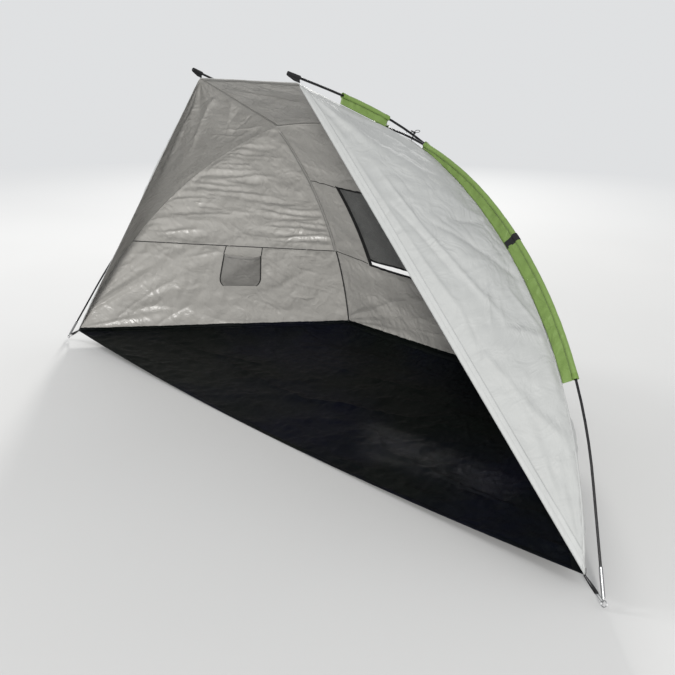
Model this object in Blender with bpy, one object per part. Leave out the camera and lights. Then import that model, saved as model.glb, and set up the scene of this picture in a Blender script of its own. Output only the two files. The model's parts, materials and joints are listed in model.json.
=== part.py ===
"""Beach shelter, pitched: a sewn cover carried by one hoop pole and two eave poles.

The hoop pole runs from front corner to front corner and leans back. Each eave pole runs from
a rear corner, over the hoop pole, to an eave corner. Origin: on the ground under the middle
of the groundsheet. +X along the open front, +Y to the rear wall, +Z up. Metres.
"""
import math

import bmesh
import bpy
from mathutils import Vector

# Driving dimensions of the cover. Heights are above its lower corners.
FRONT_HALF = 1.35
REAR_HALF = 0.57
DEPTH = 1.075
LIFT = 0.055
JOIN_HALF, JOIN_DEPTH, JOIN_HEIGHT = 0.345, 0.41, 1.01
EAVE_HALF, EAVE_DEPTH, EAVE_HEIGHT = 0.25, -0.02, 1.195
HOOP_SEAM_SAG = 0.168
REAR_SEAM_SAG = 0.088
CROWN_SEAM_SAG = 0.03
SILL, HEAD = 0.36, 0.718
WINDOW_SILL_HALF, WINDOW_HEAD_HALF = 0.298, 0.267
REAR_WALL_DROOP = 0.217
PANEL = 0.0012
SEAM_GAP = 0.002
WING_APEX, WING_HEM = 0.05, 0.998
SIDE_WALL_TOP, REAR_WALL_TOP = 0.975, 0.998

# Groundsheet: its rim hangs from the corners, its middle lies on the ground.
FLOOR_THICKNESS, FLOOR_INSET = 0.0015, 0.006
FLOOR_FLAT_HALF = 0.6
FLOOR_FLAT_FROM, FLOOR_FLAT_TO = 0.3, 0.85

# Poles
ROD_RADIUS, ROD_BORE = 0.00395, 0.0023
FERRULE_RADIUS, FERRULE_BORE, FERRULE_LENGTH = 0.0053, 0.0046, 0.06
END_FERRULE_LENGTH, END_FERRULE_GRIP = 0.078, 0.025
CORD_RADIUS = 0.0012
TOUCH = 0.0003
CROWN_TOP, CROWN_RADIUS, CROWN_ANGLE = 1.144, 1.31, math.radians(35)
SIDE_RADIUS, SIDE_ANGLE, HOOP_LEG = 1.574, math.radians(31.557), 0.30
HOOP_SECTIONS, EAVE_SECTIONS = 6, 3
ROD_STEP = 0.058
ROD_SIDES, WIRE_SIDES = 8, 6
EAVE_TIP = (0.241, -0.053, 1.223)
EAVE_CROSSING = (0.345, 0.411, 1.031)
REAR_FOOT = (0.589, 1.132, -0.030)
TIP_SLOPE, CROSSING_SLOPE, FOOT_SLOPE = math.radians(18), math.radians(31), math.radians(76)

# Sleeves and webbing
CHANNEL_BORE, CHANNEL_RADIUS = 0.0074, 0.0082
SLEEVE_HALF_THICKNESS = 0.0006
WEBBING_HALF_THICKNESS = 0.0009

# Ring-and-pin corners
PIN_WIRE, PIN_EYE, PIN_SHAFT, PIN_DROP = 0.0016, 0.0082, 0.036, 0.0135
LINK_WIRE, LINK_LENGTH, LINK_HALF_WIDTH, LINK_CORNER = 0.0012, 0.026, 0.0072, 0.0045
PIN_CLEARANCE = 0.0006
STRAP_RADIUS, STRAP_BORE = 0.0030, 0.0020

FABRIC = ("cover_fabric", (0.52, 0.53, 0.53), 0.55, 0.0)
FLOOR = ("groundsheet_film", (0.008, 0.010, 0.011), 0.42, 0.0)
SLEEVE = ("sleeve_green", (0.25, 0.40, 0.10), 0.6, 0.0)
WEBBING = ("webbing_black", (0.012, 0.012, 0.013), 0.8, 0.0)
SCREEN = ("screen_mesh", (0.05, 0.05, 0.052), 0.8, 0.0)
FIBREGLASS = ("fibreglass_black", (0.012, 0.012, 0.013), 0.32, 0.0)
STEEL = ("steel", (0.55, 0.56, 0.57), 0.3, 1.0)
ELASTIC = ("elastic_white", (0.6, 0.6, 0.58), 0.8, 0.0)

HOOP_CLIMB = math.hypot(JOIN_DEPTH, JOIN_HEIGHT)


# ---------------------------------------------------------------- places and curves
def place(x, depth, height):
    """World point from the distance behind the front line and the height above the corners."""
    return Vector((x, depth - DEPTH / 2, height + LIFT))


def on_hoop(x, climb):
    """Point of the leaning hoop plane, climb metres up from the front line."""
    return place(x, climb * JOIN_DEPTH / HOOP_CLIMB, climb * JOIN_HEIGHT / HOOP_CLIMB)


def arc(start, end, toward, sag, t):
    """Point at fraction t of the circular arc from start to end that bulges by sag."""
    chord = end - start
    along = chord.normalized()
    bulge = (toward - toward.project(along)).normalized()
    radius = (chord.length_squared / 4 + sag * sag) / (2 * sag)
    angle = (2 * t - 1) * math.asin(chord.length / 2 / radius)
    middle = (start + end) / 2
    return middle + along * radius * math.sin(angle) + bulge * (radius * math.cos(angle) - radius + sag)


def bent_rod(start, end, start_way, end_way, t):
    """Point on the smooth cubic from start to end that leaves along one way and ends along another."""
    reach = (end - start).length
    a, b = start_way * reach, end_way * reach
    return (start * (2 * t**3 - 3 * t**2 + 1) + a * (t**3 - 2 * t**2 + t)
            + end * (3 * t**2 - 2 * t**3) + b * (t**3 - t**2))


def eave_corner(side):
    return place(side * EAVE_HALF, EAVE_DEPTH, EAVE_HEIGHT)


def junction(side):
    return place(side * JOIN_HALF, JOIN_DEPTH, JOIN_HEIGHT)


def front_corner(side):
    return place(side * FRONT_HALF, 0, 0)


def rear_corner(side):
    return place(side * REAR_HALF, DEPTH, 0)


def hoop_seam(side, t):
    return arc(front_corner(side), junction(side), Vector((side, 0, 0)), HOOP_SEAM_SAG, t)


def rear_seam(side, t):
    outward = junction(side) - eave_corner(side)
    return arc(rear_corner(side), junction(side), outward, REAR_SEAM_SAG, t)


def crown_seam(t):
    return arc(junction(-1), junction(1), on_hoop(0, 1) - on_hoop(0, 0), CROWN_SEAM_SAG, t)


def eave_seam(side, t):
    return junction(side).lerp(eave_corner(side), t)


class Path:
    """A curve measured along its length."""

    def __init__(self, curve, samples=400):
        self.points = [curve(i / samples) for i in range(samples + 1)]
        self.marks = [0.0]
        for a, b in zip(self.points, self.points[1:]):
            self.marks.append(self.marks[-1] + (b - a).length)
        self.length = self.marks[-1]

    def at(self, distance):
        low, high = 0, len(self.marks) - 2
        while low < high:
            middle = (low + high + 1) // 2
            if self.marks[middle] <= distance:
                low = middle
            else:
                high = middle - 1
        part = (distance - self.marks[low]) / (self.marks[low + 1] - self.marks[low])
        return self.points[low].lerp(self.points[low + 1], part)

    def stretch(self, start, end, step):
        count = max(1, math.ceil((end - start) / step))
        return [self.at(start + (end - start) * i / count) for i in range(count + 1)]


def hoop_curve(t):
    """Hoop pole: a crown arc, a flatter arc each side, then straight legs; t from left to right foot."""
    crown_length = CROWN_RADIUS * CROWN_ANGLE
    bent_length = crown_length + SIDE_RADIUS * SIDE_ANGLE
    distance = abs(2 * t - 1) * (bent_length + HOOP_LEG)
    side = 1 if t > 0.5 else -1
    centre = CROWN_TOP - CROWN_RADIUS
    if distance <= crown_length:
        angle = distance / CROWN_RADIUS
        x, climb = CROWN_RADIUS * math.sin(angle), centre + CROWN_RADIUS * math.cos(angle)
    else:
        angle = CROWN_ANGLE + (min(distance, bent_length) - crown_length) / SIDE_RADIUS
        leg = max(0.0, distance - bent_length)
        x = (CROWN_RADIUS - SIDE_RADIUS) * math.sin(CROWN_ANGLE) + SIDE_RADIUS * math.sin(angle)
        x += leg * math.cos(angle)
        climb = (centre + (CROWN_RADIUS - SIDE_RADIUS) * math.cos(CROWN_ANGLE)
                 + SIDE_RADIUS * math.cos(angle) - leg * math.sin(angle))
    return on_hoop(side * x, climb)


def way(start, end, slope):
    """Unit direction along the plan line from start to end, sloping down."""
    plan = Vector((end.x - start.x, end.y - start.y, 0)).normalized()
    return plan * math.cos(slope) + Vector((0, 0, -math.sin(slope)))


def eave_curve(side):
    """Eave pole from its tip, over the crossing, to its rear foot."""
    tip, crossing, foot = (
        place(side * x, depth, height) for x, depth, height in (EAVE_TIP, EAVE_CROSSING, REAR_FOOT)
    )
    over = way(tip, foot, CROSSING_SLOPE)

    def curve(t):
        if t < 0.5:
            return bent_rod(tip, crossing, way(tip, crossing, TIP_SLOPE), over, 2 * t)
        return bent_rod(crossing, foot, over, way(crossing, foot, FOOT_SLOPE), 2 * t - 1)

    return curve


# ---------------------------------------------------------------- mesh builders
def finish(name, mesh_data, look, origin=None):
    """Put a finished bmesh in the scene as a named object with its own material."""
    bmesh.ops.recalc_face_normals(mesh_data, faces=mesh_data.faces)
    mesh = bpy.data.meshes.new(name)
    if origin is not None:
        bmesh.ops.translate(mesh_data, verts=mesh_data.verts, vec=-origin)
    mesh_data.to_mesh(mesh)
    mesh_data.free()
    mesh.shade_smooth()
    mesh.set_sharp_from_angle(angle=math.radians(35))
    slot, colour, roughness, metallic = look
    material = bpy.data.materials.new(f"{slot}_{name}")
    material.use_nodes = True
    shader = material.node_tree.nodes["Principled BSDF"]
    shader.inputs["Base Color"].default_value = (*colour, 1)
    shader.inputs["Roughness"].default_value = roughness
    shader.inputs["Metallic"].default_value = metallic
    mesh.materials.append(material)
    piece = bpy.data.objects.new(name, mesh)
    if origin is not None:
        piece.location = origin
    bpy.context.scene.collection.objects.link(piece)
    return piece


def fractions(count):
    return [i / count for i in range(count + 1)]


def add_sheet(mesh_data, surface, us, vs, below, above, open_cells=()):
    """Add a closed thin panel on surface(u, v), from below to above along its normal.

    Both faces of a cell are split along the same diagonal, so a twisted cell keeps its thickness.
    """
    rows, columns = len(us) - 1, len(vs) - 1
    grid = [[surface(u, v) for v in vs] for u in us]
    low, high = {}, {}
    cells = [(i, j) for i in range(rows) for j in range(columns) if (i, j) not in open_cells]
    for i, j in sorted({(i + a, j + b) for i, j in cells for a in (0, 1) for b in (0, 1)}):
        across = grid[min(i + 1, rows)][j] - grid[max(i - 1, 0)][j]
        along = grid[i][min(j + 1, columns)] - grid[i][max(j - 1, 0)]
        normal = across.cross(along).normalized()
        low[i, j] = mesh_data.verts.new(grid[i][j] + normal * below)
        high[i, j] = mesh_data.verts.new(grid[i][j] + normal * above)
    for i, j in cells:
        ring = ((i, j), (i + 1, j), (i + 1, j + 1), (i, j + 1))
        for half in (ring[:3], (ring[0], ring[2], ring[3])):
            mesh_data.faces.new([high[key] for key in half])
            mesh_data.faces.new([low[key] for key in reversed(half)])
        beside = ((i, j - 1), (i + 1, j), (i, j + 1), (i - 1, j))
        for k in range(4):
            if beside[k] not in cells:
                a, b = ring[k], ring[(k + 1) % 4]
                mesh_data.faces.new((low[a], low[b], high[b], high[a]))


def sheet(name, surface, rows, columns, look=FABRIC, below=-PANEL / 2, above=PANEL / 2, origin=None):
    mesh_data = bmesh.new()
    add_sheet(mesh_data, surface, fractions(rows), fractions(columns), below, above)
    return finish(name, mesh_data, look, origin)


def add_skin(mesh_data, outer, inner=None, closed=False, blind=False):
    """Join rings of points into a closed solid: a bar, or a hollow one where inner rings are given.

    A blind bore has its own floor, and the outer shell is capped in front of it.
    """
    shells = [[[mesh_data.verts.new(p) for p in ring] for ring in rings] for rings in (outer, inner) if rings]
    for shell in shells:
        pairs = list(zip(shell, shell[1:]))
        if closed:
            pairs.append((shell[-1], shell[0]))
        for ring, following in pairs:
            for k in range(len(ring)):
                after = (k + 1) % len(ring)
                mesh_data.faces.new((ring[k], ring[after], following[after], following[k]))
    if closed:
        return
    for end in (0, -1):
        if inner and not (blind and end == 0):
            out_ring, in_ring = shells[0][end], shells[1][end]
            for k in range(len(out_ring)):
                after = (k + 1) % len(out_ring)
                mesh_data.faces.new((out_ring[k], in_ring[k], in_ring[after], out_ring[after]))
        else:
            for shell in shells:
                mesh_data.faces.new(shell[end])


def circles(points, radius, sides, closed=False):
    """Rings of points round a path; radius may differ from point to point."""
    count = len(points)
    radii = radius if isinstance(radius, list) else [radius] * count
    rings = []
    upright = None
    for i in range(count):
        before = points[i - 1] if i or closed else points[0]
        after = points[(i + 1) % count] if i < count - 1 or closed else points[-1]
        tangent = (after - before).normalized()
        if upright is None:
            hint = Vector((0, 0, 1)) if abs(tangent.z) < 0.9 else Vector((1, 0, 0))
            upright = flat_normal(points) or hint
        upright = (upright - upright.project(tangent)).normalized()
        other = tangent.cross(upright)
        turns = [2 * math.pi * k / sides for k in range(sides)]
        rings.append([points[i] + (upright * math.cos(a) + other * math.sin(a)) * radii[i] for a in turns])
    return rings


def flat_normal(points):
    """Normal of the plane that a bent path lies in, or None for a straight one."""
    first, middle, last = points[0], points[len(points) // 3], points[2 * len(points) // 3]
    normal = (middle - first).cross(last - first)
    return normal.normalized() if normal.length > 1e-7 else None


def add_tube(mesh_data, points, radius, bore=0.0, sides=8, closed=False):
    inner = circles(points, bore, sides, closed) if bore else None
    add_skin(mesh_data, circles(points, radius, sides, closed), inner, closed)


def tube(name, points, radius, look, bore=0.0, sides=8, origin=None):
    mesh_data = bmesh.new()
    add_tube(mesh_data, points, radius, bore, sides)
    return finish(name, mesh_data, look, origin)


def fin_rings(roots, cores, radius, bore, half_thickness):
    """Rings of a fin whose flat part grows from roots and whose channel wraps round cores."""
    outer, inner = [], []
    count = len(cores)
    for i in range(count):
        tangent = (cores[min(i + 1, count - 1)] - cores[max(i - 1, 0)]).normalized()
        reach = roots[i] - cores[i]
        inward = (reach - reach.project(tangent)).normalized()
        side = tangent.cross(inward)
        turns = [math.pi * (k + 0.5) / 4 for k in range(8)]
        spokes = [inward * math.cos(a) + side * math.sin(a) for a in turns]
        root = cores[i] + reach
        outer.append([root + side * half_thickness] + [cores[i] + s * radius for s in spokes]
                     + [root - side * half_thickness])
        throat = (spokes[0] + spokes[7]) / 2
        lip = (spokes[0] - spokes[7]) / 6
        inner.append([cores[i] + (throat + lip) * bore] + [cores[i] + s * bore for s in spokes]
                     + [cores[i] + (throat - lip) * bore])
    return outer, inner


def fin(name, roots, cores, look, radius=CHANNEL_RADIUS, bore=CHANNEL_BORE,
        half_thickness=SLEEVE_HALF_THICKNESS):
    mesh_data = bmesh.new()
    add_skin(mesh_data, *fin_rings(roots, cores, radius, bore, half_thickness))
    return finish(name, mesh_data, look)


def nearest(curve, point):
    """Point of curve(t), t from 0 to 1, that is closest to point."""
    low, high = 0.0, 1.0
    for _ in range(40):
        third = (high - low) / 3
        if (curve(low + third) - point).length < (curve(high - third) - point).length:
            high -= third
        else:
            low += third
    return curve((low + high) / 2)


def held_off(roots, cores, gap=SEAM_GAP):
    """Roots moved gap towards their cores, clear of the seam they are sewn in."""
    return [root + (core - root).normalized() * gap for root, core in zip(roots, cores)]


# ---------------------------------------------------------------- cover
def trimmed(u, width, start_gap=SEAM_GAP, end_gap=SEAM_GAP):
    """Fraction u moved inwards so that a strip of this width keeps its gaps."""
    first = min(0.3, start_gap / width)
    last = 1 - min(0.3, end_gap / width)
    return first + (last - first) * u


def wing(side):
    """Cone from the eave corner to the hoop seam."""
    eave = eave_corner(side)
    fan = (front_corner(side) - eave).angle(junction(side) - eave)

    def surface(u, v):
        r = WING_APEX + (WING_HEM - WING_APEX) * v
        reach = (hoop_seam(side, u) - eave).length * r
        t = trimmed(u, reach * fan)
        return eave.lerp(hoop_seam(side, t), r)

    return surface


def side_wall(side, bottom, top):
    """Ruled between the hoop seam and the rear corner seam, one band of it."""
    def surface(u, v):
        height = (hoop_seam(side, top) - hoop_seam(side, bottom)).length
        t = bottom + (top - bottom) * trimmed(u, height)
        width = (hoop_seam(side, t) - rear_seam(side, t)).length
        return hoop_seam(side, t).lerp(rear_seam(side, t), trimmed(v, width))

    return surface


def droop(t, x):
    """How far a level line of the rear wall hangs below its ends, as a fraction of the wall."""
    return REAR_WALL_DROOP * t * max(0.0, 1 - t) ** 1.5 * max(0.0, 1 - (x / rear_seam(1, t).x) ** 2)


def rear_point(t, x):
    """Rear wall between the two rear corner seams, arched to the crown seam at the top."""
    t -= droop(t, x)
    left, right = rear_seam(-1, t), rear_seam(1, t)
    across = (x - left.x) / (right.x - left.x)
    arch = crown_seam(across) - junction(-1).lerp(junction(1), across)
    return left.lerp(right, across) + arch * max(0.0, (t - HEAD) / (1 - HEAD))


def window_half(t):
    """Half the width of the window opening, which narrows from the sill to the head."""
    return WINDOW_SILL_HALF + (WINDOW_HEAD_HALF - WINDOW_SILL_HALF) * (t - SILL) / (HEAD - SILL)


def rear_band(bottom, top):
    """Band of the rear wall from one corner seam to the other."""
    def surface(u, v):
        t = bottom + (top - bottom) * trimmed(u, (rear_seam(1, top) - rear_seam(1, bottom)).length)
        half = rear_seam(1, t).x
        return rear_point(t, half * (2 * trimmed(v, 2 * half) - 1))

    return surface


def beside_window(side):
    """Piece of the rear wall between the window and one corner seam."""
    def surface(u, v):
        t = SILL + (HEAD - SILL) * trimmed(u, (rear_seam(1, HEAD) - rear_seam(1, SILL)).length)
        inner, outer = window_half(t), rear_seam(1, t).x
        return rear_point(t, side * (inner + (outer - inner) * trimmed(v, outer - inner)))

    return surface


def roof(u, v):
    """From the straight eave hem back to the arched crown seam."""
    back = trimmed(v, (junction(1) - eave_corner(1)).length, 0.0, SEAM_GAP)
    across = trimmed(u, 2 * EAVE_HALF)
    front = eave_corner(-1).lerp(eave_corner(1), across)
    return front.lerp(crown_seam(across), back)


def floor_rise(x, y):
    """Height of the groundsheet: flat in the middle, lifted along its rim to the corners."""
    depth = (y + DEPTH / 2) / DEPTH
    across = abs(x) / (FRONT_HALF + (REAR_HALF - FRONT_HALF) * depth)
    flat = FLOOR_FLAT_HALF * min(1.0, depth / FLOOR_FLAT_FROM)
    sideways = max(0.0, (across - flat) / (1 - flat)) ** 2
    backwards = max(0.0, (depth - FLOOR_FLAT_TO) / (1 - FLOOR_FLAT_TO)) ** 2
    return LIFT * (1 - (1 - min(1.0, sideways)) * (1 - min(1.0, backwards)))


def groundsheet():
    def surface(u, v):
        half = FRONT_HALF + (REAR_HALF - FRONT_HALF) * v - FLOOR_INSET
        x, y = half * (2 * u - 1), DEPTH * (v - 0.5) - FLOOR_INSET * v
        return Vector((x, y, floor_rise(x, y)))

    sheet("groundsheet", surface, 16, 8, FLOOR, 0.0, FLOOR_THICKNESS)


def cover():
    for side, word in ((-1, "left"), (1, "right")):
        sheet(f"{word}_wing_panel", wing(side), 12, 5)
        sheet(f"{word}_side_wall_lower", side_wall(side, 0.0, SILL), 5, 7)
        sheet(f"{word}_side_wall_upper", side_wall(side, SILL, SIDE_WALL_TOP), 8, 7)
    sheet("roof_panel", roof, 8, 4)
    sheet("rear_wall_lower", rear_band(0.0, SILL), 4, 12)
    sheet("rear_wall_upper", rear_band(HEAD, REAR_WALL_TOP), 4, 10)
    sheet("rear_wall_beside_window_left", beside_window(-1), 4, 3)
    sheet("rear_wall_beside_window_right", beside_window(1), 4, 3)
    groundsheet()


# ---------------------------------------------------------------- window and pocket
BINDING_SIDE, BINDING_END = 0.022, 0.007
BINDING_SETBACK = 0.0016
SCREEN_OFFSET, SCREEN_OVERLAP, SCREEN_SHORT = 0.0040, 0.012, 0.024


def outward_at(t):
    """Normal of the rear wall, pointing out of the cabin."""
    up = rear_point(t + 0.01, 0.0) - rear_point(t - 0.01, 0.0)
    return Vector((1, 0, 0)).cross(up).normalized() * -1


def binding():
    """Tape round the window opening, on the cabin side of the wall."""
    height = (rear_point(HEAD, 0) - rear_point(SILL, 0)).length
    end, side = BINDING_END / height, BINDING_SIDE / (WINDOW_SILL_HALF + WINDOW_HEAD_HALF)

    def surface(u, v):
        t = SILL + (HEAD - SILL) * u
        return rear_point(t, window_half(t) * (2 * v - 1)) - outward_at(t) * BINDING_SETBACK

    us = [0, end] + [end + (1 - 2 * end) * i / 4 for i in (1, 2, 3)] + [1 - end, 1]
    vs = [0, side] + [side + (1 - 2 * side) * i / 6 for i in range(1, 6)] + [1 - side, 1]
    opening = [(i, j) for i in range(1, len(us) - 2) for j in range(1, len(vs) - 2)]
    mesh_data = bmesh.new()
    add_sheet(mesh_data, surface, us, vs, -PANEL / 2, PANEL / 2, opening)
    finish("window_binding", mesh_data, WEBBING)


def screen():
    """Mesh screen that hangs outside the opening from the head seam, short of the sill."""
    corner = rear_point(HEAD, window_half(HEAD) + SCREEN_OVERLAP)
    hinge = Vector((0, corner.y, corner.z)) + outward_at(HEAD) * SCREEN_OFFSET
    height = (rear_point(HEAD, 0) - rear_point(SILL, 0)).length
    hem = SILL + (HEAD - SILL) * SCREEN_SHORT / height

    def surface(u, v):
        t = hem + (HEAD - hem) * u
        half = window_half(t) + SCREEN_OVERLAP
        return rear_point(t, half * (2 * v - 1)) + outward_at(t) * SCREEN_OFFSET

    sheet("window_screen", surface, 6, 8, SCREEN, origin=hinge)


POCKET_FROM, POCKET_TO = 0.453, 0.63
POCKET_TOP, POCKET_BOTTOM = 0.323, 0.180
POCKET_EDGE, POCKET_MOUTH = 0.0025, 0.024
POCKET_LEAN = 0.016


def pocket():
    """Gusseted front of the wall pocket; the wall is its back, its mouth stands open."""
    def surface(u, v):
        across = 2 * v - 1
        rounding = 1 - 0.16 * max(0.0, (u - 0.7) / 0.3) ** 2
        t = POCKET_TOP + (POCKET_BOTTOM - POCKET_TOP) * u
        middle = (POCKET_FROM + POCKET_TO) / 2 + POCKET_LEAN * u
        share = middle + (POCKET_TO - POCKET_FROM) / 2 * across * rounding
        wall = hoop_seam(-1, t).lerp(rear_seam(-1, t), share)
        up = hoop_seam(-1, t + 0.01).lerp(rear_seam(-1, t + 0.01), share) - wall
        along = rear_seam(-1, t) - hoop_seam(-1, t)
        inward = along.cross(up).normalized()
        if inward.x < 0:
            inward.negate()
        bulge = (1 - across**4) * (1 - u**3)
        return wall + inward * (POCKET_EDGE + (POCKET_MOUTH - POCKET_EDGE) * bulge)

    sheet("wall_pocket", surface, 6, 8)


# ---------------------------------------------------------------- poles
TIP_PROFILE = ((0.0, 0.0020), (0.0010, 0.0038), (0.0030, 0.0050), (0.0090, 0.0050), (0.0100, ROD_RADIUS))
TIP_SOLID = 0.012


def rod_section(name, path, start, end, tipped, socketed):
    """Hollow rod from start to end, with a moulded tip or with a steel socket for the next rod."""
    half = FERRULE_LENGTH / 2
    outer, inner = [], []
    rod_from = start
    if tipped:
        outer += [(start + ahead, radius) for ahead, radius in TIP_PROFILE]
        rod_from = start + TIP_PROFILE[-1][0]
    outer.append((rod_from, ROD_RADIUS))
    plugged = rod_from + half
    rod_to = end - half if socketed else end
    count = math.ceil((rod_to - plugged) / ROD_STEP)
    outer += [(plugged + (rod_to - plugged) * i / count, ROD_RADIUS) for i in range(count + 1)]
    inner = [(start + TIP_SOLID if tipped else start, ROD_BORE)]
    inner += [(distance, ROD_BORE) for distance, _ in outer if inner[0][0] + 0.005 < distance < rod_to]
    if socketed:
        outer += [(rod_to, FERRULE_RADIUS), (end, FERRULE_RADIUS), (end + half, FERRULE_RADIUS)]
        inner += [(rod_to, ROD_BORE), (end, ROD_BORE), (end, FERRULE_BORE), (end + half, FERRULE_BORE)]
    else:
        inner += [(rod_to, ROD_BORE)]
    shells = []
    for stations in (outer, inner):
        points = [path.at(distance) for distance, _ in stations]
        shells.append(circles(points, [radius for _, radius in stations], ROD_SIDES))
    mesh_data = bmesh.new()
    add_skin(mesh_data, shells[0], shells[1], blind=tipped)
    finish(name, mesh_data, FIBREGLASS)


def pole(word, path, sections, tipped):
    """Rod sections with the shock cord inside, along a measured path that ends in steel feet."""
    reach = END_FERRULE_LENGTH - END_FERRULE_GRIP
    first, last = (0.0 if tipped else reach), path.length - reach
    cuts = [first] + [path.length * i / sections for i in range(1, sections)] + [last]
    for i in range(sections):
        start = cuts[i] + (TOUCH if i else 0.0)
        rod_section(f"{word}_pole_section_{i + 1}", path, start, cuts[i + 1], tipped and i == 0,
                    i < sections - 1)
    inside = 0.02
    tube(f"{word}_pole_shock_cord", path.stretch(first + inside, last - inside, 0.075), CORD_RADIUS,
         ELASTIC, sides=5)


def end_ferrule(word, path, start, end):
    tube(f"pole_end_ferrule_{word}", path.stretch(start, end, 0.02), FERRULE_RADIUS, STEEL,
         FERRULE_BORE, 12)


def poles():
    hoop = Path(hoop_curve)
    eaves = {side: Path(eave_curve(side)) for side in (-1, 1)}
    pole("hoop", hoop, HOOP_SECTIONS, False)
    end_ferrule("front_left", hoop, 0.0, END_FERRULE_LENGTH)
    end_ferrule("front_right", hoop, hoop.length - END_FERRULE_LENGTH, hoop.length)
    for side, word in ((-1, "left"), (1, "right")):
        path = eaves[side]
        pole(f"{word}_eave", path, EAVE_SECTIONS, True)
        end_ferrule(f"rear_{word}", path, path.length - END_FERRULE_LENGTH, path.length)
    return hoop, eaves


# ---------------------------------------------------------------- sleeves, bands and ties
HOOP_SLEEVE_FROM, HOOP_SLEEVE_TO = 0.417, 1.394
CROWN_SLEEVE_HALF = 0.225
EAVE_SLEEVE_FROM, EAVE_SLEEVE_TO = 0.210, 0.405
REAR_SLEEVE_FROM, REAR_SLEEVE_TO = 0.58, 1.52
BAND_AT, BAND_WIDTH = 0.924, 0.025
BAND_GAP, BAND_SETBACK, BAND_THICKNESS = 0.0004, 0.0025, 0.0012
TIP_POCKET_MOUTH, TIP_POCKET_LENGTH = 0.002, 0.046
TIP_POCKET_RADIUS, TIP_POCKET_BORE = 0.0068, 0.0056
TIP_WEB_HALF, TIP_WEB_GAP = 0.010, 0.003
TIE_CORD, BOW_CORD, KNOT_RADIUS = 0.0011, 0.0010, 0.0042
TIE_HALF_WIDTH, TIE_SLACK = 0.0105, 0.0008
SLEEVE_STEP = 0.085


def sleeve(name, cores, seam):
    roots = [nearest(seam, core) for core in cores]
    fin(name, held_off(roots, cores), cores, SLEEVE)


def guy_band(name, cores, seam):
    """Webbing loop sewn in the hoop seam, folded over the sleeve."""
    roots = [nearest(seam, core) for core in cores]
    roots = held_off(roots, cores, BAND_SETBACK)
    round_part = CHANNEL_RADIUS + BAND_GAP * 1.6
    flat = SLEEVE_HALF_THICKNESS + BAND_GAP
    inner, _ = fin_rings(roots, cores, round_part, CHANNEL_BORE, flat)
    outer, _ = fin_rings(roots, cores, round_part + BAND_THICKNESS, CHANNEL_BORE, flat + BAND_THICKNESS)
    mesh_data = bmesh.new()
    add_skin(mesh_data, [out + within[::-1] for out, within in zip(outer, inner)])
    finish(name, mesh_data, WEBBING)


def tip_pocket(name, side, path):
    """Webbing pocket over the pole tip, with its web down to the eave corner."""
    corner = eave_corner(side)
    cores = path.stretch(TIP_POCKET_MOUTH, TIP_POCKET_LENGTH, 0.012)
    back = (junction(side) - corner).normalized()
    spread = [TIP_WEB_HALF * (2 * i / (len(cores) - 1) - 1) for i in range(len(cores))]
    roots = held_off([corner + back * s for s in spread], cores, TIP_WEB_GAP)
    fin(name, roots, cores, WEBBING, TIP_POCKET_RADIUS, TIP_POCKET_BORE, WEBBING_HALF_THICKNESS)


def junction_tie(name, side, hoop, eave):
    """Cord wrapped round both poles where they cross, ended in a bow at a knot."""
    lower = nearest(lambda t: hoop.at(hoop.length * t), junction(side))
    upper = nearest(lambda t: eave.at(eave.length * t), lower)
    behind = nearest(lambda t: eave.at(eave.length * t), upper + Vector((0, 0.02, -0.02)))
    beside = nearest(lambda t: hoop.at(hoop.length * t), lower + Vector((side * 0.02, 0, 0)))
    up = (upper - lower).normalized()
    run = (behind - upper).normalized()
    lateral = up.cross(run).normalized()
    slant = ((beside - lower).normalized() - run).normalized()
    middle = (upper + lower) / 2
    tall = (upper - lower).length / 2 + ROD_RADIUS + TIE_CORD + TIE_SLACK
    knot = middle + up * (tall + KNOT_RADIUS / 2)

    def squared(value):
        return math.copysign(abs(value) ** 0.5, value)

    cord = bmesh.new()
    wrap = []
    for k in range(16):
        turn = 2 * math.pi * (k + 0.5) / 16
        wrap.append(middle + up * tall * squared(math.cos(turn))
                    + slant * TIE_HALF_WIDTH * squared(math.sin(turn)))
    add_tube(cord, wrap, TIE_CORD, sides=5, closed=True)
    for hand in (-1, 1):
        loop = []
        for k in range(12):
            turn = 2 * math.pi * (k + 0.5) / 12
            out = 0.0018 + 0.0105 * (1 - math.cos(turn))
            loop.append(knot + lateral * hand * out + run * 0.006 * math.sin(turn)
                        + up * (0.0035 + 0.0025 * (1 - math.cos(turn))))
        add_tube(cord, loop, BOW_CORD, sides=5, closed=True)
        tail = [knot + lateral * hand * (0.0016 + 0.0050 * k) - run * (0.0024 + 0.0040 * k)
                + up * (0.0010 - 0.0005 * k * k) for k in range(5)]
        add_tube(cord, tail, BOW_CORD, sides=5)
    guide = finish(f"{name}_cord", cord, WEBBING)
    guide.hide_render = True
    guide.display_type = "WIRE"

    bead = bmesh.new()
    bmesh.ops.create_icosphere(bead, subdivisions=2, radius=KNOT_RADIUS)
    bmesh.ops.translate(bead, verts=bead.verts, vec=knot)
    tie = finish(name, bead, WEBBING)
    union = tie.modifiers.new("knotted", "BOOLEAN")
    union.operation = "UNION"
    union.solver = "EXACT"
    union.object = guide


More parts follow.
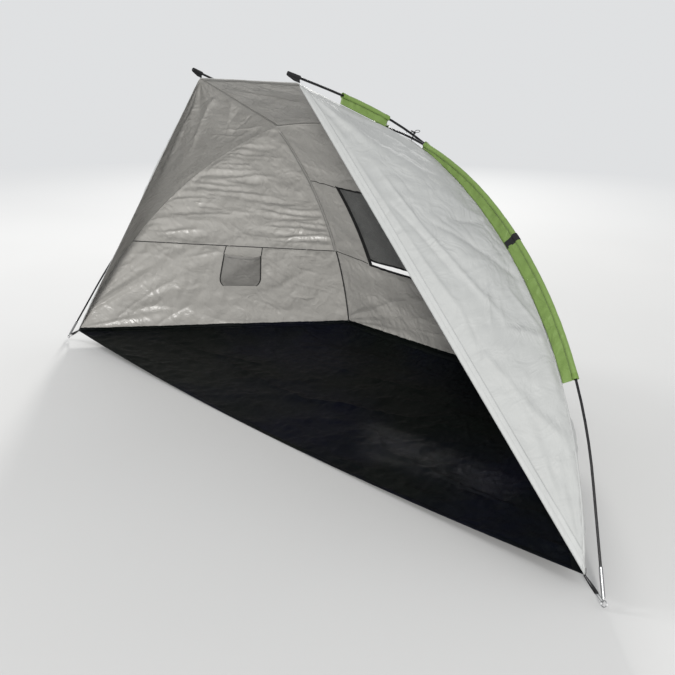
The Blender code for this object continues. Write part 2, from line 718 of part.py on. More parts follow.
def sewn_sleeves(hoop, eaves):
    middle = hoop.length / 2
    for side, word in ((-1, "left"), (1, "right")):
        def seam(t, side=side):
            return hoop_seam(side, t)

        def climb(distance, side=side):
            return hoop.at(middle + side * distance)

        stations = 13
        span = HOOP_SLEEVE_TO - HOOP_SLEEVE_FROM
        cores = [climb(HOOP_SLEEVE_FROM + span * i / stations) for i in range(stations + 1)]
        sleeve(f"{word}_hoop_sleeve", cores, seam)
        band = [climb(BAND_AT + BAND_WIDTH * (i / 2 - 0.5)) for i in range(3)]
        guy_band(f"{word}_guy_band", band, seam)
        eave = eaves[side]
        sleeve(f"{word}_eave_sleeve", eave.stretch(EAVE_SLEEVE_FROM, EAVE_SLEEVE_TO, SLEEVE_STEP),
               lambda t, side=side: eave_seam(side, t))
        sleeve(f"{word}_rear_sleeve", eave.stretch(REAR_SLEEVE_FROM, REAR_SLEEVE_TO, SLEEVE_STEP),
               lambda t, side=side: rear_seam(side, t))
        tip_pocket(f"{word}_eave_tip_pocket", side, eave)
        junction_tie(f"{word}_junction_tie", side, hoop, eave)
    crown = hoop.stretch(middle - CROWN_SLEEVE_HALF, middle + CROWN_SLEEVE_HALF, SLEEVE_STEP)
    sleeve("crown_sleeve", crown, crown_seam)


# ---------------------------------------------------------------- ring-and-pin corners
def corner_set(word, corner, foot, downward):
    """Steel pin in the pole end, link ring in the pin's eye, and the strap that holds the ring."""
    eye = foot + downward * PIN_DROP
    toward = (corner - eye).normalized()
    across = downward.cross(toward).normalized()
    square = across.cross(downward).normalized()
    start = eye - downward * (PIN_DROP + PIN_SHAFT)
    points = [start, start + downward * PIN_SHAFT * 0.5, start + downward * PIN_SHAFT]
    last_turn = 2 * math.pi - 2 * math.asin((PIN_WIRE + TOUCH) / PIN_EYE)
    steps = 14
    for k in range(steps + 1):
        turn = last_turn * k / steps
        points.append(eye - downward * PIN_EYE * math.cos(turn) - square * PIN_EYE * math.sin(turn))
    tube(f"corner_pin_{word}", points, PIN_WIRE, STEEL, sides=WIRE_SIDES, origin=foot)

    near = eye + toward * (PIN_EYE - PIN_WIRE - LINK_WIRE - PIN_CLEARANCE)
    link = []
    for quarter, (end, hand) in enumerate(((0, -1), (1, -1), (1, 1), (0, 1))):
        centre = (near + toward * (end * LINK_LENGTH + LINK_CORNER * (1 - 2 * end))
                  + across * hand * (LINK_HALF_WIDTH - LINK_CORNER))
        for k in range(4):
            turn = math.pi + quarter * math.pi / 2 + k * math.pi / 6
            link.append(centre + toward * LINK_CORNER * math.cos(turn)
                        + across * LINK_CORNER * math.sin(turn))
    mesh_data = bmesh.new()
    add_tube(mesh_data, link, LINK_WIRE, sides=WIRE_SIDES, closed=True)
    finish(f"link_ring_{word}", mesh_data, STEEL)

    bar = near + toward * LINK_LENGTH
    half = LINK_HALF_WIDTH - LINK_CORNER - TOUCH
    cores = [bar - across * half, bar, bar + across * half]
    stub = corner - toward * SEAM_GAP * 2
    roots = [stub - across * half, stub, stub + across * half]
    fin(f"corner_strap_{word}", roots, cores, WEBBING, STRAP_RADIUS, STRAP_BORE, WEBBING_HALF_THICKNESS)


def corners(hoop, eaves):
    for side, word in ((-1, "left"), (1, "right")):
        at = 0.0 if side < 0 else hoop.length
        inside = 0.004 if side < 0 else hoop.length - 0.004
        down = (hoop.at(at) - hoop.at(inside)).normalized()
        corner_set(f"front_{word}", front_corner(side), hoop.at(at), down)
        eave = eaves[side]
        down = (eave.at(eave.length) - eave.at(eave.length - 0.004)).normalized()
        corner_set(f"rear_{word}", rear_corner(side), eave.at(eave.length), down)


def main():
    for piece in list(bpy.data.objects):
        bpy.data.objects.remove(piece, do_unlink=True)
    cover()
    binding()
    screen()
    pocket()
    hoop, eaves = poles()
    sewn_sleeves(hoop, eaves)
    corners(hoop, eaves)


main()
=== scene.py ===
"""Looks of a pitched beach shelter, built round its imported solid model.

Every panel, sleeve, tape and strap is a sheet of cloth laid on the same seams as the solids.
Metres. +X runs along the open front, +Y to the rear wall, +Z up; the ground is z = 0.
"""
import json
import math
from functools import partial

import bpy
import numpy as np
from mathutils import Matrix, Vector


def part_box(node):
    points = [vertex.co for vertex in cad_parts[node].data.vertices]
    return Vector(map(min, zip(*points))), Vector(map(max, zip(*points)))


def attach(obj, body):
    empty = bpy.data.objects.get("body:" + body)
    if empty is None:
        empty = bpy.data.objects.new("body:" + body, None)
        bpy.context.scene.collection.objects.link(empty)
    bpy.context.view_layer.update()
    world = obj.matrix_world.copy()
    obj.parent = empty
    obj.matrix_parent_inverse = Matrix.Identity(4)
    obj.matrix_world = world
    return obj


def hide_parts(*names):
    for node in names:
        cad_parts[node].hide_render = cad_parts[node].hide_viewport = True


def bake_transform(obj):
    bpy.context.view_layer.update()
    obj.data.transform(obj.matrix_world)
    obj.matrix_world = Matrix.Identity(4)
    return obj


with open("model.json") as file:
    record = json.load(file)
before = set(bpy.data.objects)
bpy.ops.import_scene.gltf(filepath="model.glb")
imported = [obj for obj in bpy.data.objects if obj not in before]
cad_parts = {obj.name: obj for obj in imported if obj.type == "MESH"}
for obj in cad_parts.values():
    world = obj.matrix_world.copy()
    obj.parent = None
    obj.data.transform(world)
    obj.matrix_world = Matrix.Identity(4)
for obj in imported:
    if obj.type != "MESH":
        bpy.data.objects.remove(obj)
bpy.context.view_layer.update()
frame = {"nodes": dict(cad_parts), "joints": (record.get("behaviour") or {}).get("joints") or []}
NODES = frame["nodes"]
SHELTER, SCREEN_BODY = "shelter", "window_screen"

# Seams of the cover. Depths are behind the front line, heights above its lower corners.
FRONT_HALF, REAR_HALF, DEPTH, LIFT = 1.35, 0.57, 1.075, 0.055
JOIN_HALF, JOIN_DEPTH, JOIN_HEIGHT = 0.345, 0.41, 1.01
EAVE_HALF, EAVE_DEPTH, EAVE_HEIGHT = 0.25, -0.02, 1.195
HOOP_SAG, REAR_SAG, CROWN_SAG = 0.168, 0.088, 0.03
SILL, HEAD = 0.36, 0.718
WINDOW_SILL_HALF, WINDOW_HEAD_HALF = 0.298, 0.267
REAR_WALL_DROOP = 0.217
CLOTH, TAPE = 0.0006, 0.0005
SEAM_HALF = 0.0019

# Groundsheet
FLOOR_INSET, FLOOR_FLAT_HALF = 0.006, 0.6
FLOOR_FLAT_FROM, FLOOR_FLAT_TO = 0.3, 0.85
FLOOR_TOP = 0.0016

# Poles, as arcs of the leaning hoop plane and as bent rods over it.
CROWN_TOP, CROWN_RADIUS, CROWN_ANGLE = 1.144, 1.31, math.radians(35)
SIDE_RADIUS, SIDE_ANGLE, HOOP_LEG = 1.574, math.radians(31.557), 0.30
EAVE_TIP = (0.241, -0.053, 1.223)
EAVE_CROSSING = (0.345, 0.411, 1.031)
REAR_FOOT = (0.589, 1.132, -0.030)
TIP_SLOPE, CROSSING_SLOPE, FOOT_SLOPE = math.radians(18), math.radians(31), math.radians(76)
HOOP_SLEEVE, CROWN_SLEEVE_HALF = (0.417, 1.394), 0.225
EAVE_SLEEVE, REAR_SLEEVE = (0.210, 0.405), (0.58, 1.52)
CHANNEL = 0.0080
HOOP_CLIMB = math.hypot(JOIN_DEPTH, JOIN_HEIGHT)
SIDES = ((-1, "left"), (1, "right"))


# -------- points and curves
def point(x, depth, height):
    """World points from the distance behind the front line and the height above the corners."""
    x, depth, height = np.broadcast_arrays(x, depth, height)
    return np.stack([x, depth - DEPTH / 2, height + LIFT], axis=-1).astype(float)


def unit(vectors):
    return vectors / np.maximum(np.linalg.norm(vectors, axis=-1, keepdims=True), 1e-12)


def size(vectors):
    return np.linalg.norm(vectors, axis=-1)


def mix(a, b, t):
    """Points at fractions t of the way from a to b."""
    t = np.asarray(t, float)[..., None]
    return a * (1 - t) + b * t


def arc(start, end, toward, sag, t):
    """Points at fractions t of the circular arc from start to end that bulges by sag."""
    span = np.linalg.norm(end - start)
    along = (end - start) / span
    bulge = unit(toward - along * (toward @ along))
    radius = (span**2 / 4 + sag**2) / (2 * sag)
    angle = (2 * np.asarray(t, float) - 1) * math.asin(span / 2 / radius)
    lift = radius * np.cos(angle) - radius + sag
    return (start + end) / 2 + along * (radius * np.sin(angle))[..., None] + bulge * lift[..., None]


def eave_corner(side):
    return point(side * EAVE_HALF, EAVE_DEPTH, EAVE_HEIGHT)


def junction(side):
    return point(side * JOIN_HALF, JOIN_DEPTH, JOIN_HEIGHT)


def front_corner(side):
    return point(side * FRONT_HALF, 0, 0)


def rear_corner(side):
    return point(side * REAR_HALF, DEPTH, 0)


def hoop_seam(side, t):
    return arc(front_corner(side), junction(side), np.array((side, 0.0, 0.0)), HOOP_SAG, t)


def rear_seam(side, t):
    return arc(rear_corner(side), junction(side), junction(side) - eave_corner(side), REAR_SAG, t)


def crown_seam(t):
    return arc(junction(-1), junction(1), np.array((0.0, JOIN_DEPTH, JOIN_HEIGHT)), CROWN_SAG, t)


def droop(t, x):
    """How far a level line of the rear wall hangs below its ends, as a fraction of the wall."""
    hang = np.maximum(0, 1 - (x / rear_seam(1, t)[..., 0]) ** 2)
    return REAR_WALL_DROOP * t * np.maximum(0, 1 - t) ** 1.5 * hang


def wall_width(side, t):
    """Level width of a side wall, from the hoop seam to the rear corner seam."""
    return size(hoop_seam(side, t) - rear_seam(side, t))


def rear_point(t, x):
    """Point of the rear wall at a fraction of its height and a distance from its middle."""
    t = t - droop(t, x)
    left, right = rear_seam(-1, t), rear_seam(1, t)
    across = (x - left[..., 0]) / (right[..., 0] - left[..., 0])
    arch = crown_seam(across) - mix(junction(-1), junction(1), across)
    return mix(left, right, across) + arch * np.clip((t - HEAD) / (1 - HEAD), 0, 1)[..., None]


def window_half(t):
    """Half the width of the window opening, which narrows from the sill to the head."""
    return WINDOW_SILL_HALF + (WINDOW_HEAD_HALF - WINDOW_SILL_HALF) * (t - SILL) / (HEAD - SILL)


def hoop_curve(t):
    """The hoop pole from its left foot to its right foot."""
    crown = CROWN_RADIUS * CROWN_ANGLE
    bend = crown + SIDE_RADIUS * SIDE_ANGLE
    distance = np.abs(2 * t - 1) * (bend + HOOP_LEG)
    inner = np.minimum(distance, crown) / CROWN_RADIUS
    outer = CROWN_ANGLE + np.clip(distance - crown, 0, bend - crown) / SIDE_RADIUS
    leg = np.maximum(distance - bend, 0)
    shift = CROWN_RADIUS - SIDE_RADIUS
    low = distance <= crown
    x = np.where(low, CROWN_RADIUS * np.sin(inner),
                 shift * math.sin(CROWN_ANGLE) + SIDE_RADIUS * np.sin(outer) + leg * np.cos(outer))
    climb = CROWN_TOP - CROWN_RADIUS + np.where(
        low, CROWN_RADIUS * np.cos(inner),
        shift * math.cos(CROWN_ANGLE) + SIDE_RADIUS * np.cos(outer) - leg * np.sin(outer))
    lean = climb / HOOP_CLIMB
    return point(np.sign(t - 0.5) * x, lean * JOIN_DEPTH, lean * JOIN_HEIGHT)


def bent(start, end, start_way, end_way, t):
    """Points at fractions t of a bent rod that leaves and arrives in the given directions."""
    reach = np.linalg.norm(end - start)
    t = np.asarray(t, float)[..., None]
    return (start * (2 * t**3 - 3 * t**2 + 1) + start_way * reach * (t**3 - 2 * t**2 + t)
            + end * (3 * t**2 - 2 * t**3) + end_way * reach * (t**3 - t**2))


def way(start, end, slope):
    """Direction towards end in plan, going down at a slope."""
    plan = unit(np.array((end[0] - start[0], end[1] - start[1], 0.0)))
    return plan * math.cos(slope) + np.array((0.0, 0.0, -math.sin(slope)))


def eave_curve(side):
    """An eave pole from its tip, over the crossing, to its rear foot."""
    tip, crossing, foot = (
        point(side * x, depth, height) for x, depth, height in (EAVE_TIP, EAVE_CROSSING, REAR_FOOT)
    )
    over = way(tip, foot, CROSSING_SLOPE)

    def curve(t):
        first = bent(tip, crossing, way(tip, crossing, TIP_SLOPE), over, np.minimum(2 * t, 1))
        last = bent(crossing, foot, over, way(crossing, foot, FOOT_SLOPE), np.maximum(2 * t - 1, 0))
        return np.where((t < 0.5)[..., None], first, last)

    return curve


class Path:
    """A curve measured along its length."""

    def __init__(self, curve, samples=1200):
        self.points = curve(np.linspace(0, 1, samples + 1))
        steps = np.linalg.norm(np.diff(self.points, axis=0), axis=1)
        self.marks = np.concatenate([[0], np.cumsum(steps)])
        self.length = self.marks[-1]

    def at(self, distance):
        return np.stack([np.interp(distance, self.marks, self.points[:, k]) for k in range(3)], axis=-1)


# -------- folds
LATTICE = 64


def noise(x, y, seed):
    """Smooth gradient noise from about -1 to 1, with one bump for each unit."""
    turn = np.random.default_rng(seed).random((LATTICE, LATTICE)) * 2 * math.pi
    x, y = np.broadcast_arrays(np.asarray(x, float), np.asarray(y, float))
    left, low = np.floor(x).astype(int), np.floor(y).astype(int)
    fx, fy = x - left, y - low

    def pull(dx, dy):
        angle = turn[(left + dx) % LATTICE, (low + dy) % LATTICE]
        return np.cos(angle) * (fx - dx) + np.sin(angle) * (fy - dy)

    sx, sy = (f * f * f * (f * (6 * f - 15) + 10) for f in (fx, fy))
    below = pull(0, 0) * (1 - sx) + pull(1, 0) * sx
    above = pull(0, 1) * (1 - sx) + pull(1, 1) * sx
    return 1.5 * (below * (1 - sy) + above * sy)


def ridge(x, y, seed):
    """Sharp-crested folds, from 0 in the hollows to 1 on the crests."""
    return 1 - np.sqrt(np.abs(noise(x, y, seed)) ** 2 + 0.0016) * 1.6


def rise(distance, reach):
    """0 at a seam, 1 beyond reach."""
    share = np.clip(distance / reach, 0, 1)
    return share * share * (3 - 2 * share)


def puckers(along, distance, seed, height, pitch=0.016, reach=0.032):
    """Short gathers where the thread of a seam pulls the cloth."""
    wave = noise(along / pitch, distance / 0.07, seed)
    return height * wave * rise(distance, 0.007) * np.exp(-distance / reach)


def crumple(s, t, seed, height, pitch, stretch=1.0):
    """Creases of a cloth that was folded small: ridges at three sizes, crossing each other."""
    total = 0.0
    for octave, (share, scale, turn) in enumerate(((0.55, 1.0, 0.4), (0.3, 0.47, 1.3), (0.15, 0.23, 2.2))):
        a = (s * math.cos(turn) + t * math.sin(turn)) / (pitch * scale * stretch)
        b = (t * math.cos(turn) - s * math.sin(turn)) / (pitch * scale)
        total += share * ridge(a, b, seed + octave)
    return height * (total - 0.5)


def crease(s, t, start, end, height, width, bow):
    """One long fold from start to end, bowed sideways, that fades at both ends."""
    start, end = np.array(start, float), np.array(end, float)
    span = np.linalg.norm(end - start)
    along = (end - start) / span
    a = ((s - start[0]) * along[0] + (t - start[1]) * along[1]) / span
    d = (t - start[1]) * along[0] - (s - start[0]) * along[1] - bow * 4 * a * (1 - a)
    fade = rise(a, 0.25) * rise(1 - a, 0.25)
    side = np.where(d > 0, 1.0, np.exp(d / width / 2))
    return 1.35 * height * fade * np.exp(-np.sqrt((d / width) ** 2 + 0.12)) * side


def creases(s, t, table):
    return sum(crease(s, t, *row) for row in table)


def scatter(s, t, seed, count, low, high, tilt, height=0.0045, width=0.0065):
    """Short sharp creases strewn between two corners, most of them within tilt of the level."""
    draw = np.random.default_rng(seed)
    total = 0.0
    for _ in range(count):
        middle = draw.uniform(low, high)
        angle = draw.normal(0.0, tilt)
        half = draw.uniform(0.04, 0.13) * np.array((math.cos(angle), math.sin(angle)))
        tall = height * draw.uniform(0.4, 1.0) * draw.choice((-1, 1, 1))
        total += crease(s, t, middle - half, middle + half, tall, width, draw.uniform(-0.02, 0.02))
    return total


def fan(angle, radius, seed, height, reach):
    """Tension folds that run out of a corner."""
    swell = noise(angle, radius / 0.6, seed)
    return height * swell * rise(radius, 0.10) * np.exp(-((radius / reach) ** 2))


# -------- cloth panels
NORMAL_STEP = 2e-3


class Panel:
    """A smooth surface over u and v from 0 to 1, with folds raised along its outward normal."""

    def __init__(self, surface, axes, outward, folds):
        self.surface = surface
        self.axes = [unit(np.array(axis, float)) for axis in axes]
        self.folds = folds
        self.sign = 1.0
        self.sign = float(np.sign(self.middle_normal() @ np.array(outward, float)))

    def middle_normal(self):
        middle = np.array([0.5])
        return self.normal(middle, middle)[0]

    def normal(self, u, v):
        near, far = np.maximum(u - NORMAL_STEP, 0), np.minimum(u + NORMAL_STEP, 1)
        across = self.surface(far, v) - self.surface(near, v)
        near, far = np.maximum(v - NORMAL_STEP, 0), np.minimum(v + NORMAL_STEP, 1)
        along = self.surface(u, far) - self.surface(u, near)
        return unit(np.cross(across, along)) * self.sign

    def flat(self, u, v):
        """Places on the cloth in metres, along its two axes."""
        places = self.surface(u, v)
        return places @ self.axes[0], places @ self.axes[1]

    def at(self, u, v, lift=0.0):
        """Points of the folded cloth, raised by lift."""
        s, t = self.flat(u, v)
        return self.surface(u, v) + self.normal(u, v) * (self.folds(u, v, s, t) + lift)[..., None]

    def cut_area(self, us, vs, keep=None):
        """Area in square metres of the cloth lying smooth, before any fold."""
        points = self.surface(*np.meshgrid(us, vs, indexing="ij"))
        across = np.diff(points, axis=0)[:, :-1]
        along = np.diff(points, axis=1)[:-1]
        cells = size(np.cross(across, along))
        return float(cells.sum() if keep is None else cells[keep].sum())


def grid_faces(rows, columns):
    """Quads between the points of an array of rows and columns, row by row."""
    i, j = np.meshgrid(np.arange(rows - 1), np.arange(columns - 1), indexing="ij")
    first = (i * columns + j).ravel()
    return np.stack([first, first + columns, first + columns + 1, first + 1], axis=1)


def make_mesh(name, points, faces, uv, materials):
    """Mesh object from arrays; points that no face uses are dropped."""
    used, faces = np.unique(faces, return_inverse=True)
    faces = faces.reshape(-1, 4)
    mesh = bpy.data.meshes.new(name)
    mesh.from_pydata(points[used].tolist(), [], faces.tolist())
    layer = mesh.uv_layers.new(name="UVMap")
    layer.data.foreach_set("uv", uv[used][faces.ravel()].astype(np.float32).ravel())
    for material in materials:
        mesh.materials.append(material)
    mesh.shade_smooth()
    piece = bpy.data.objects.new(name, mesh)
    bpy.context.scene.collection.objects.link(piece)
    return piece


def grid(name, points, uv, materials, thickness=CLOTH, keep=None, outward=None, body=SHELTER):
    """Cloth on an array of points, given thickness inwards; the last material is its inner face."""
    faces = grid_faces(*points.shape[:2])
    if keep is not None:
        faces = faces[keep.ravel()]
    if outward is not None:
        a, b, c = (points.reshape(-1, 3)[faces[:, k]] for k in (0, 1, 2))
        if (np.cross(b - a, c - b).sum(0) @ np.array(outward, float)) < 0:
            faces = faces[:, ::-1]
    piece = make_mesh(name, points.reshape(-1, 3), faces, uv.reshape(-1, 2), materials)
    if thickness:
        shell = piece.modifiers.new("thickness", "SOLIDIFY")
        shell.thickness = thickness
        shell.offset = -1.0
        shell.material_offset = len(materials) - 1
    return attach(piece, body)


# -------- materials
def add(tree, kind, inputs=None, **settings):
    """Make a shader node; an input may be a value or another node's output."""
    made = tree.nodes.new(kind)
    for key, value in settings.items():
        setattr(made, key, value)
    for key, value in (inputs or {}).items():
        if isinstance(value, bpy.types.NodeSocket):
            tree.links.new(value, made.inputs[key])
        else:
            made.inputs[key].default_value = value
    return made


def maths(tree, operation, a, b=0.0, c=0.0):
    return add(tree, "ShaderNodeMath", {0: a, 1: b, 2: c}, operation=operation).outputs[0]


def blank(name, roughness, metallic=0.0, **sockets):
    """New material; sockets are the shader's other inputs, with _ for a space."""
    material = bpy.data.materials.new(name)
    material.use_nodes = True
    shader = material.node_tree.nodes["Principled BSDF"]
    shader.inputs["Roughness"].default_value = roughness
    shader.inputs["Metallic"].default_value = metallic
    for key, value in sockets.items():
        shader.inputs[key.replace("_", " ")].default_value = value
    return material, material.node_tree, shader


def wire(tree, shader, colour, normal):
    """Give the shader its colour and its relief."""
    tree.links.new(colour, shader.inputs["Base Color"])
    tree.links.new(normal, shader.inputs["Normal"])


def cloth_plane(tree):
    """Places on the cloth in metres, from its UV map."""
    where = add(tree, "ShaderNodeUVMap", uv_map="UVMap").outputs[0]
    parts = add(tree, "ShaderNodeSeparateXYZ", {0: where})
    return where, parts.outputs[0], parts.outputs[1]


def plain_weave(tree, x, y, pitch):
    """Over-and-under of a plain weave, from -1 to 1."""
    turn = 2 * math.pi / pitch
    across = maths(tree, "SINE", maths(tree, "MULTIPLY", x, turn))
    along = maths(tree, "SINE", maths(tree, "MULTIPLY", y, turn))
    return maths(tree, "MULTIPLY", across, along)


def speckle(tree, where, scale, detail=2.0, distortion=0.0, roughness=0.5):
    """Cloudy noise, from 0 to 1."""
    return add(tree, "ShaderNodeTexNoise", {
        "Vector": where, "Scale": scale, "Detail": detail, "Distortion": distortion, "Roughness": roughness,
    }).outputs[0]


def tint(tree, factor, dark, light, low=0.3, high=0.7):
    """Colour between dark and light as factor goes from low to high."""
    share = add(tree, "ShaderNodeMapRange", {0: factor, 1: low, 2: high, 3: 0.0, 4: 1.0}).outputs[0]
    made = add(tree, "ShaderNodeMix", data_type="RGBA")
    tree.links.new(share, made.inputs[0])
    for socket, colour in ((6, dark), (7, light)):
        if isinstance(colour, bpy.types.NodeSocket):
            tree.links.new(colour, made.inputs[socket])
        else:
            made.inputs[socket].default_value = (*colour, 1)
    return made.outputs[2]


def bump(tree, height, depth, under=None, strength=1.0):
    """Relief of the given depth, over the relief under it."""
    inputs = {"Height": height, "Distance": depth, "Strength": strength}
    if under is not None:
        inputs["Normal"] = under
    return add(tree, "ShaderNodeBump", inputs).outputs[0]


def scaled(colour, share):
    return tuple(c * share for c in colour)


def gloss(tree, shader, factor, low, high):
    """Roughness that goes from low to high with factor."""
    made = add(tree, "ShaderNodeMapRange", {0: factor, 1: 0.3, 2: 0.7, 3: low, 4: high})
    tree.links.new(made.outputs[0], shader.inputs["Roughness"])


def fabric(name, colour, roughness, variation, crinkle):
    """Coated polyester: fine plain weave, faint wear marks and small crinkles."""
    material, tree, shader = blank(name, roughness, Sheen_Weight=0.12, Sheen_Roughness=0.4)
    where, x, y = cloth_plane(tree)
    cloud = speckle(tree, where, 5.0, 4.0, 0.6)
    grain = speckle(tree, where, 420.0, 1.0)
    base = tint(tree, cloud, scaled(colour, 1 - variation), scaled(colour, 1 + variation))
    base = tint(tree, grain, scaled(colour, 0.93), base, 0.15, 0.45)
    gloss(tree, shader, cloud, roughness - 0.06, roughness + 0.08)
    soft = bump(tree, speckle(tree, where, 34.0, 4.0, 1.2), crinkle)
    fold = maths(tree, "ABSOLUTE", maths(tree, "SUBTRACT", speckle(tree, where, 13.0, 2.5, 1.1), 0.5))
    soft = bump(tree, fold, crinkle * -9, soft)
    wire(tree, shader, base, bump(tree, plain_weave(tree, x, y, 0.0010), 0.00003, soft, 0.7))
    return material


STITCH, STITCH_SHARE, THREAD_HALF = 0.0034, 0.72, 0.00042


def stitched(name, colour, rows, thread, roughness, ribs=False, soft=0.13):
    """Tape or webbing with rows of stitches; rows are distances in metres from its first edge."""
    material, tree, shader = blank(name, roughness, Specular_IOR_Level=0.3)
    where, x, y = cloth_plane(tree)
    cloud = speckle(tree, where, 60.0, 3.0)
    base = tint(tree, cloud, scaled(colour, 1 - soft), scaled(colour, 1 + soft))
    dash = maths(tree, "LESS_THAN", maths(tree, "FRACT", maths(tree, "DIVIDE", x, STITCH)), STITCH_SHARE)
    marks = None
    for row in rows:
        line = maths(tree, "COMPARE", y, row, THREAD_HALF)
        marks = line if marks is None else maths(tree, "MAXIMUM", marks, line)
    cross, pitch, depth = (0.35, 0.0022, 0.00012) if ribs else (1.0, 0.0009, 0.00004)
    normal = bump(tree, plain_weave(tree, x, maths(tree, "MULTIPLY", y, cross), pitch), depth)
    normal = bump(tree, cloud, 0.0002, normal)
    if marks is not None:
        marks = maths(tree, "MULTIPLY", marks, dash)
        base = tint(tree, marks, base, thread, 0.0, 1.0)
        normal = bump(tree, marks, 0.00025, normal)
    wire(tree, shader, base, normal)
    return material


def film(name):
    """Black woven polyethylene film: crinkled, glossy on its folds, tinted navy in places."""
    material, tree, shader = blank(name, 0.42, IOR=1.14)
    where, x, y = cloth_plane(tree)
    cloud = speckle(tree, where, 1.6, 3.0, 0.4)
    base = tint(tree, cloud, (0.0030, 0.0042, 0.0038), (0.0026, 0.0032, 0.0075), 0.42, 0.62)
    dust = speckle(tree, where, 26.0, 6.0, 0.8, 0.7)
    base = tint(tree, dust, base, (0.010, 0.012, 0.0115), 0.52, 0.85)
    gloss(tree, shader, dust, 0.34, 0.58)
    small = bump(tree, speckle(tree, where, 55.0, 5.0, 2.0, 0.6), 0.0012)
    wire(tree, shader, base, bump(tree, plain_weave(tree, x, y, 0.0032), 0.00005, small, 0.8))
    return material


def mesh_screen(name):
    """Dark knitted mesh that lets some light through."""
    material, tree, shader = blank(name, 0.7, Alpha=0.88, Sheen_Weight=0.1)
    where, x, y = cloth_plane(tree)
    holes = plain_weave(tree, x, y, 0.0016)
    cloud = speckle(tree, where, 9.0, 3.0, 0.8)
    base = tint(tree, cloud, (0.095, 0.098, 0.095), (0.125, 0.128, 0.124))
    base = tint(tree, holes, base, (0.055, 0.056, 0.055), 0.1, 0.8)
    soft = bump(tree, speckle(tree, where, 30.0, 3.0, 0.8), 0.0008)
    wire(tree, shader, base, bump(tree, holes, 0.00012, soft))
    return material


def rod_look(name, colour, roughness, metallic, streak):
    """Hard round stock: fine drawn streaks, scuffs and a little dirt."""
    material, tree, shader = blank(name, roughness, metallic, Specular_IOR_Level=0.3)
    where = add(tree, "ShaderNodeTexCoord").outputs["Object"]
    mark = speckle(tree, where, 240.0, 3.0, 0.3, 0.6)
    worn = speckle(tree, where, 17.0, 5.0, 0.5, 0.65)
    base = tint(tree, worn, scaled(colour, 0.82), scaled(colour, 1.15))
    base = tint(tree, mark, base, streak, 0.66, 0.9)
    gloss(tree, shader, mark, roughness - 0.08, roughness + 0.14)
    wire(tree, shader, base, bump(tree, mark, 0.00005))
    return material


def studio_floor(name):
    """Pale floor that turns into the colour of the surroundings far from the shelter."""
    material, tree, shader = blank(name, 0.9)
    where = add(tree, "ShaderNodeTexCoord").outputs["Object"]
    base = tint(tree, speckle(tree, where, 0.6), (0.54, 0.54, 0.537), (0.56, 0.56, 0.557))
    tree.links.new(base, shader.inputs["Base Color"])
    far = add(tree, "ShaderNodeVectorMath", {0: where}, operation="LENGTH").outputs["Value"]
    share = add(tree, "ShaderNodeMapRange", {0: far, 1: 3.0, 2: 8.0, 3: 0.0, 4: 1.0}).outputs[0]
    glow = add(tree, "ShaderNodeEmission", {0: (*WORLD_COLOUR, 1)}).outputs[0]
    both = add(tree, "ShaderNodeMixShader", {0: share, 1: shader.outputs[0], 2: glow}).outputs[0]
    tree.links.new(both, tree.nodes["Material Output"].inputs["Surface"])
    return material


OUTER = fabric("cover_outer", (0.312, 0.320, 0.317), 0.62, 0.020, 0.0008)
INNER = fabric("cover_inner", (0.352, 0.344, 0.326), 0.32, 0.04, 0.0010)
GREEN = fabric("sleeve_cloth", (0.118, 0.190, 0.042), 0.55, 0.05, 0.0009)
POCKET = fabric("pocket_cloth", (0.205, 0.201, 0.191), 0.55, 0.05, 0.0010)
FILM = film("floor_film")
MESH = mesh_screen("screen_cloth")
BLACK = stitched("black_tape", (0.008, 0.008, 0.009), (0.003, 0.019), (0.025, 0.025, 0.025), 0.75, ribs=True)
STRAP = stitched("black_webbing", (0.009, 0.009, 0.010), (0.002, 0.008), (0.03, 0.03, 0.03), 0.8, ribs=True)
HEM = stitched("hem_outer", (0.340, 0.348, 0.345), (0.003, 0.0275), (0.20, 0.205, 0.205), 0.5, soft=0.03)
HEM_INNER = stitched("hem_inner", (0.325, 0.32, 0.305), (0.003, 0.0275), (0.18, 0.18, 0.175), 0.5, soft=0.03)
SEAM = stitched("seam_line", (0.07, 0.069, 0.066), (0.0015,), (0.05, 0.05, 0.05), 0.7)
SEAM_DARK = stitched("seam_black", (0.022, 0.022, 0.022), (0.0025,), (0.05, 0.05, 0.05), 0.7)
SEAM_TAPE = stitched("seam_tape", (0.27, 0.265, 0.252), (0.0025, 0.0115), (0.14, 0.14, 0.135), 0.5, soft=0.04)
GREEN_HEM = stitched("sleeve_hem", (0.112, 0.182, 0.040), (0.0025, 0.0125), (0.06, 0.10, 0.025), 0.55,
                     soft=0.05)
FIBREGLASS = rod_look("fibreglass", (0.006, 0.006, 0.007), 0.30, 0.0, (0.02, 0.02, 0.02))
STEEL = rod_look("zinc_steel", (0.27, 0.275, 0.28), 0.42, 1.0, (0.22, 0.22, 0.22))
ELASTIC = stitched("elastic_braid", (0.55, 0.55, 0.53), (), (0.2, 0.2, 0.2), 0.8)


# -------- the cover
WING_SEED, WALL_SEED = {1: 10, -1: 40}, {-1: 70, 1: 100}
ROOF_DEEP = 0.47


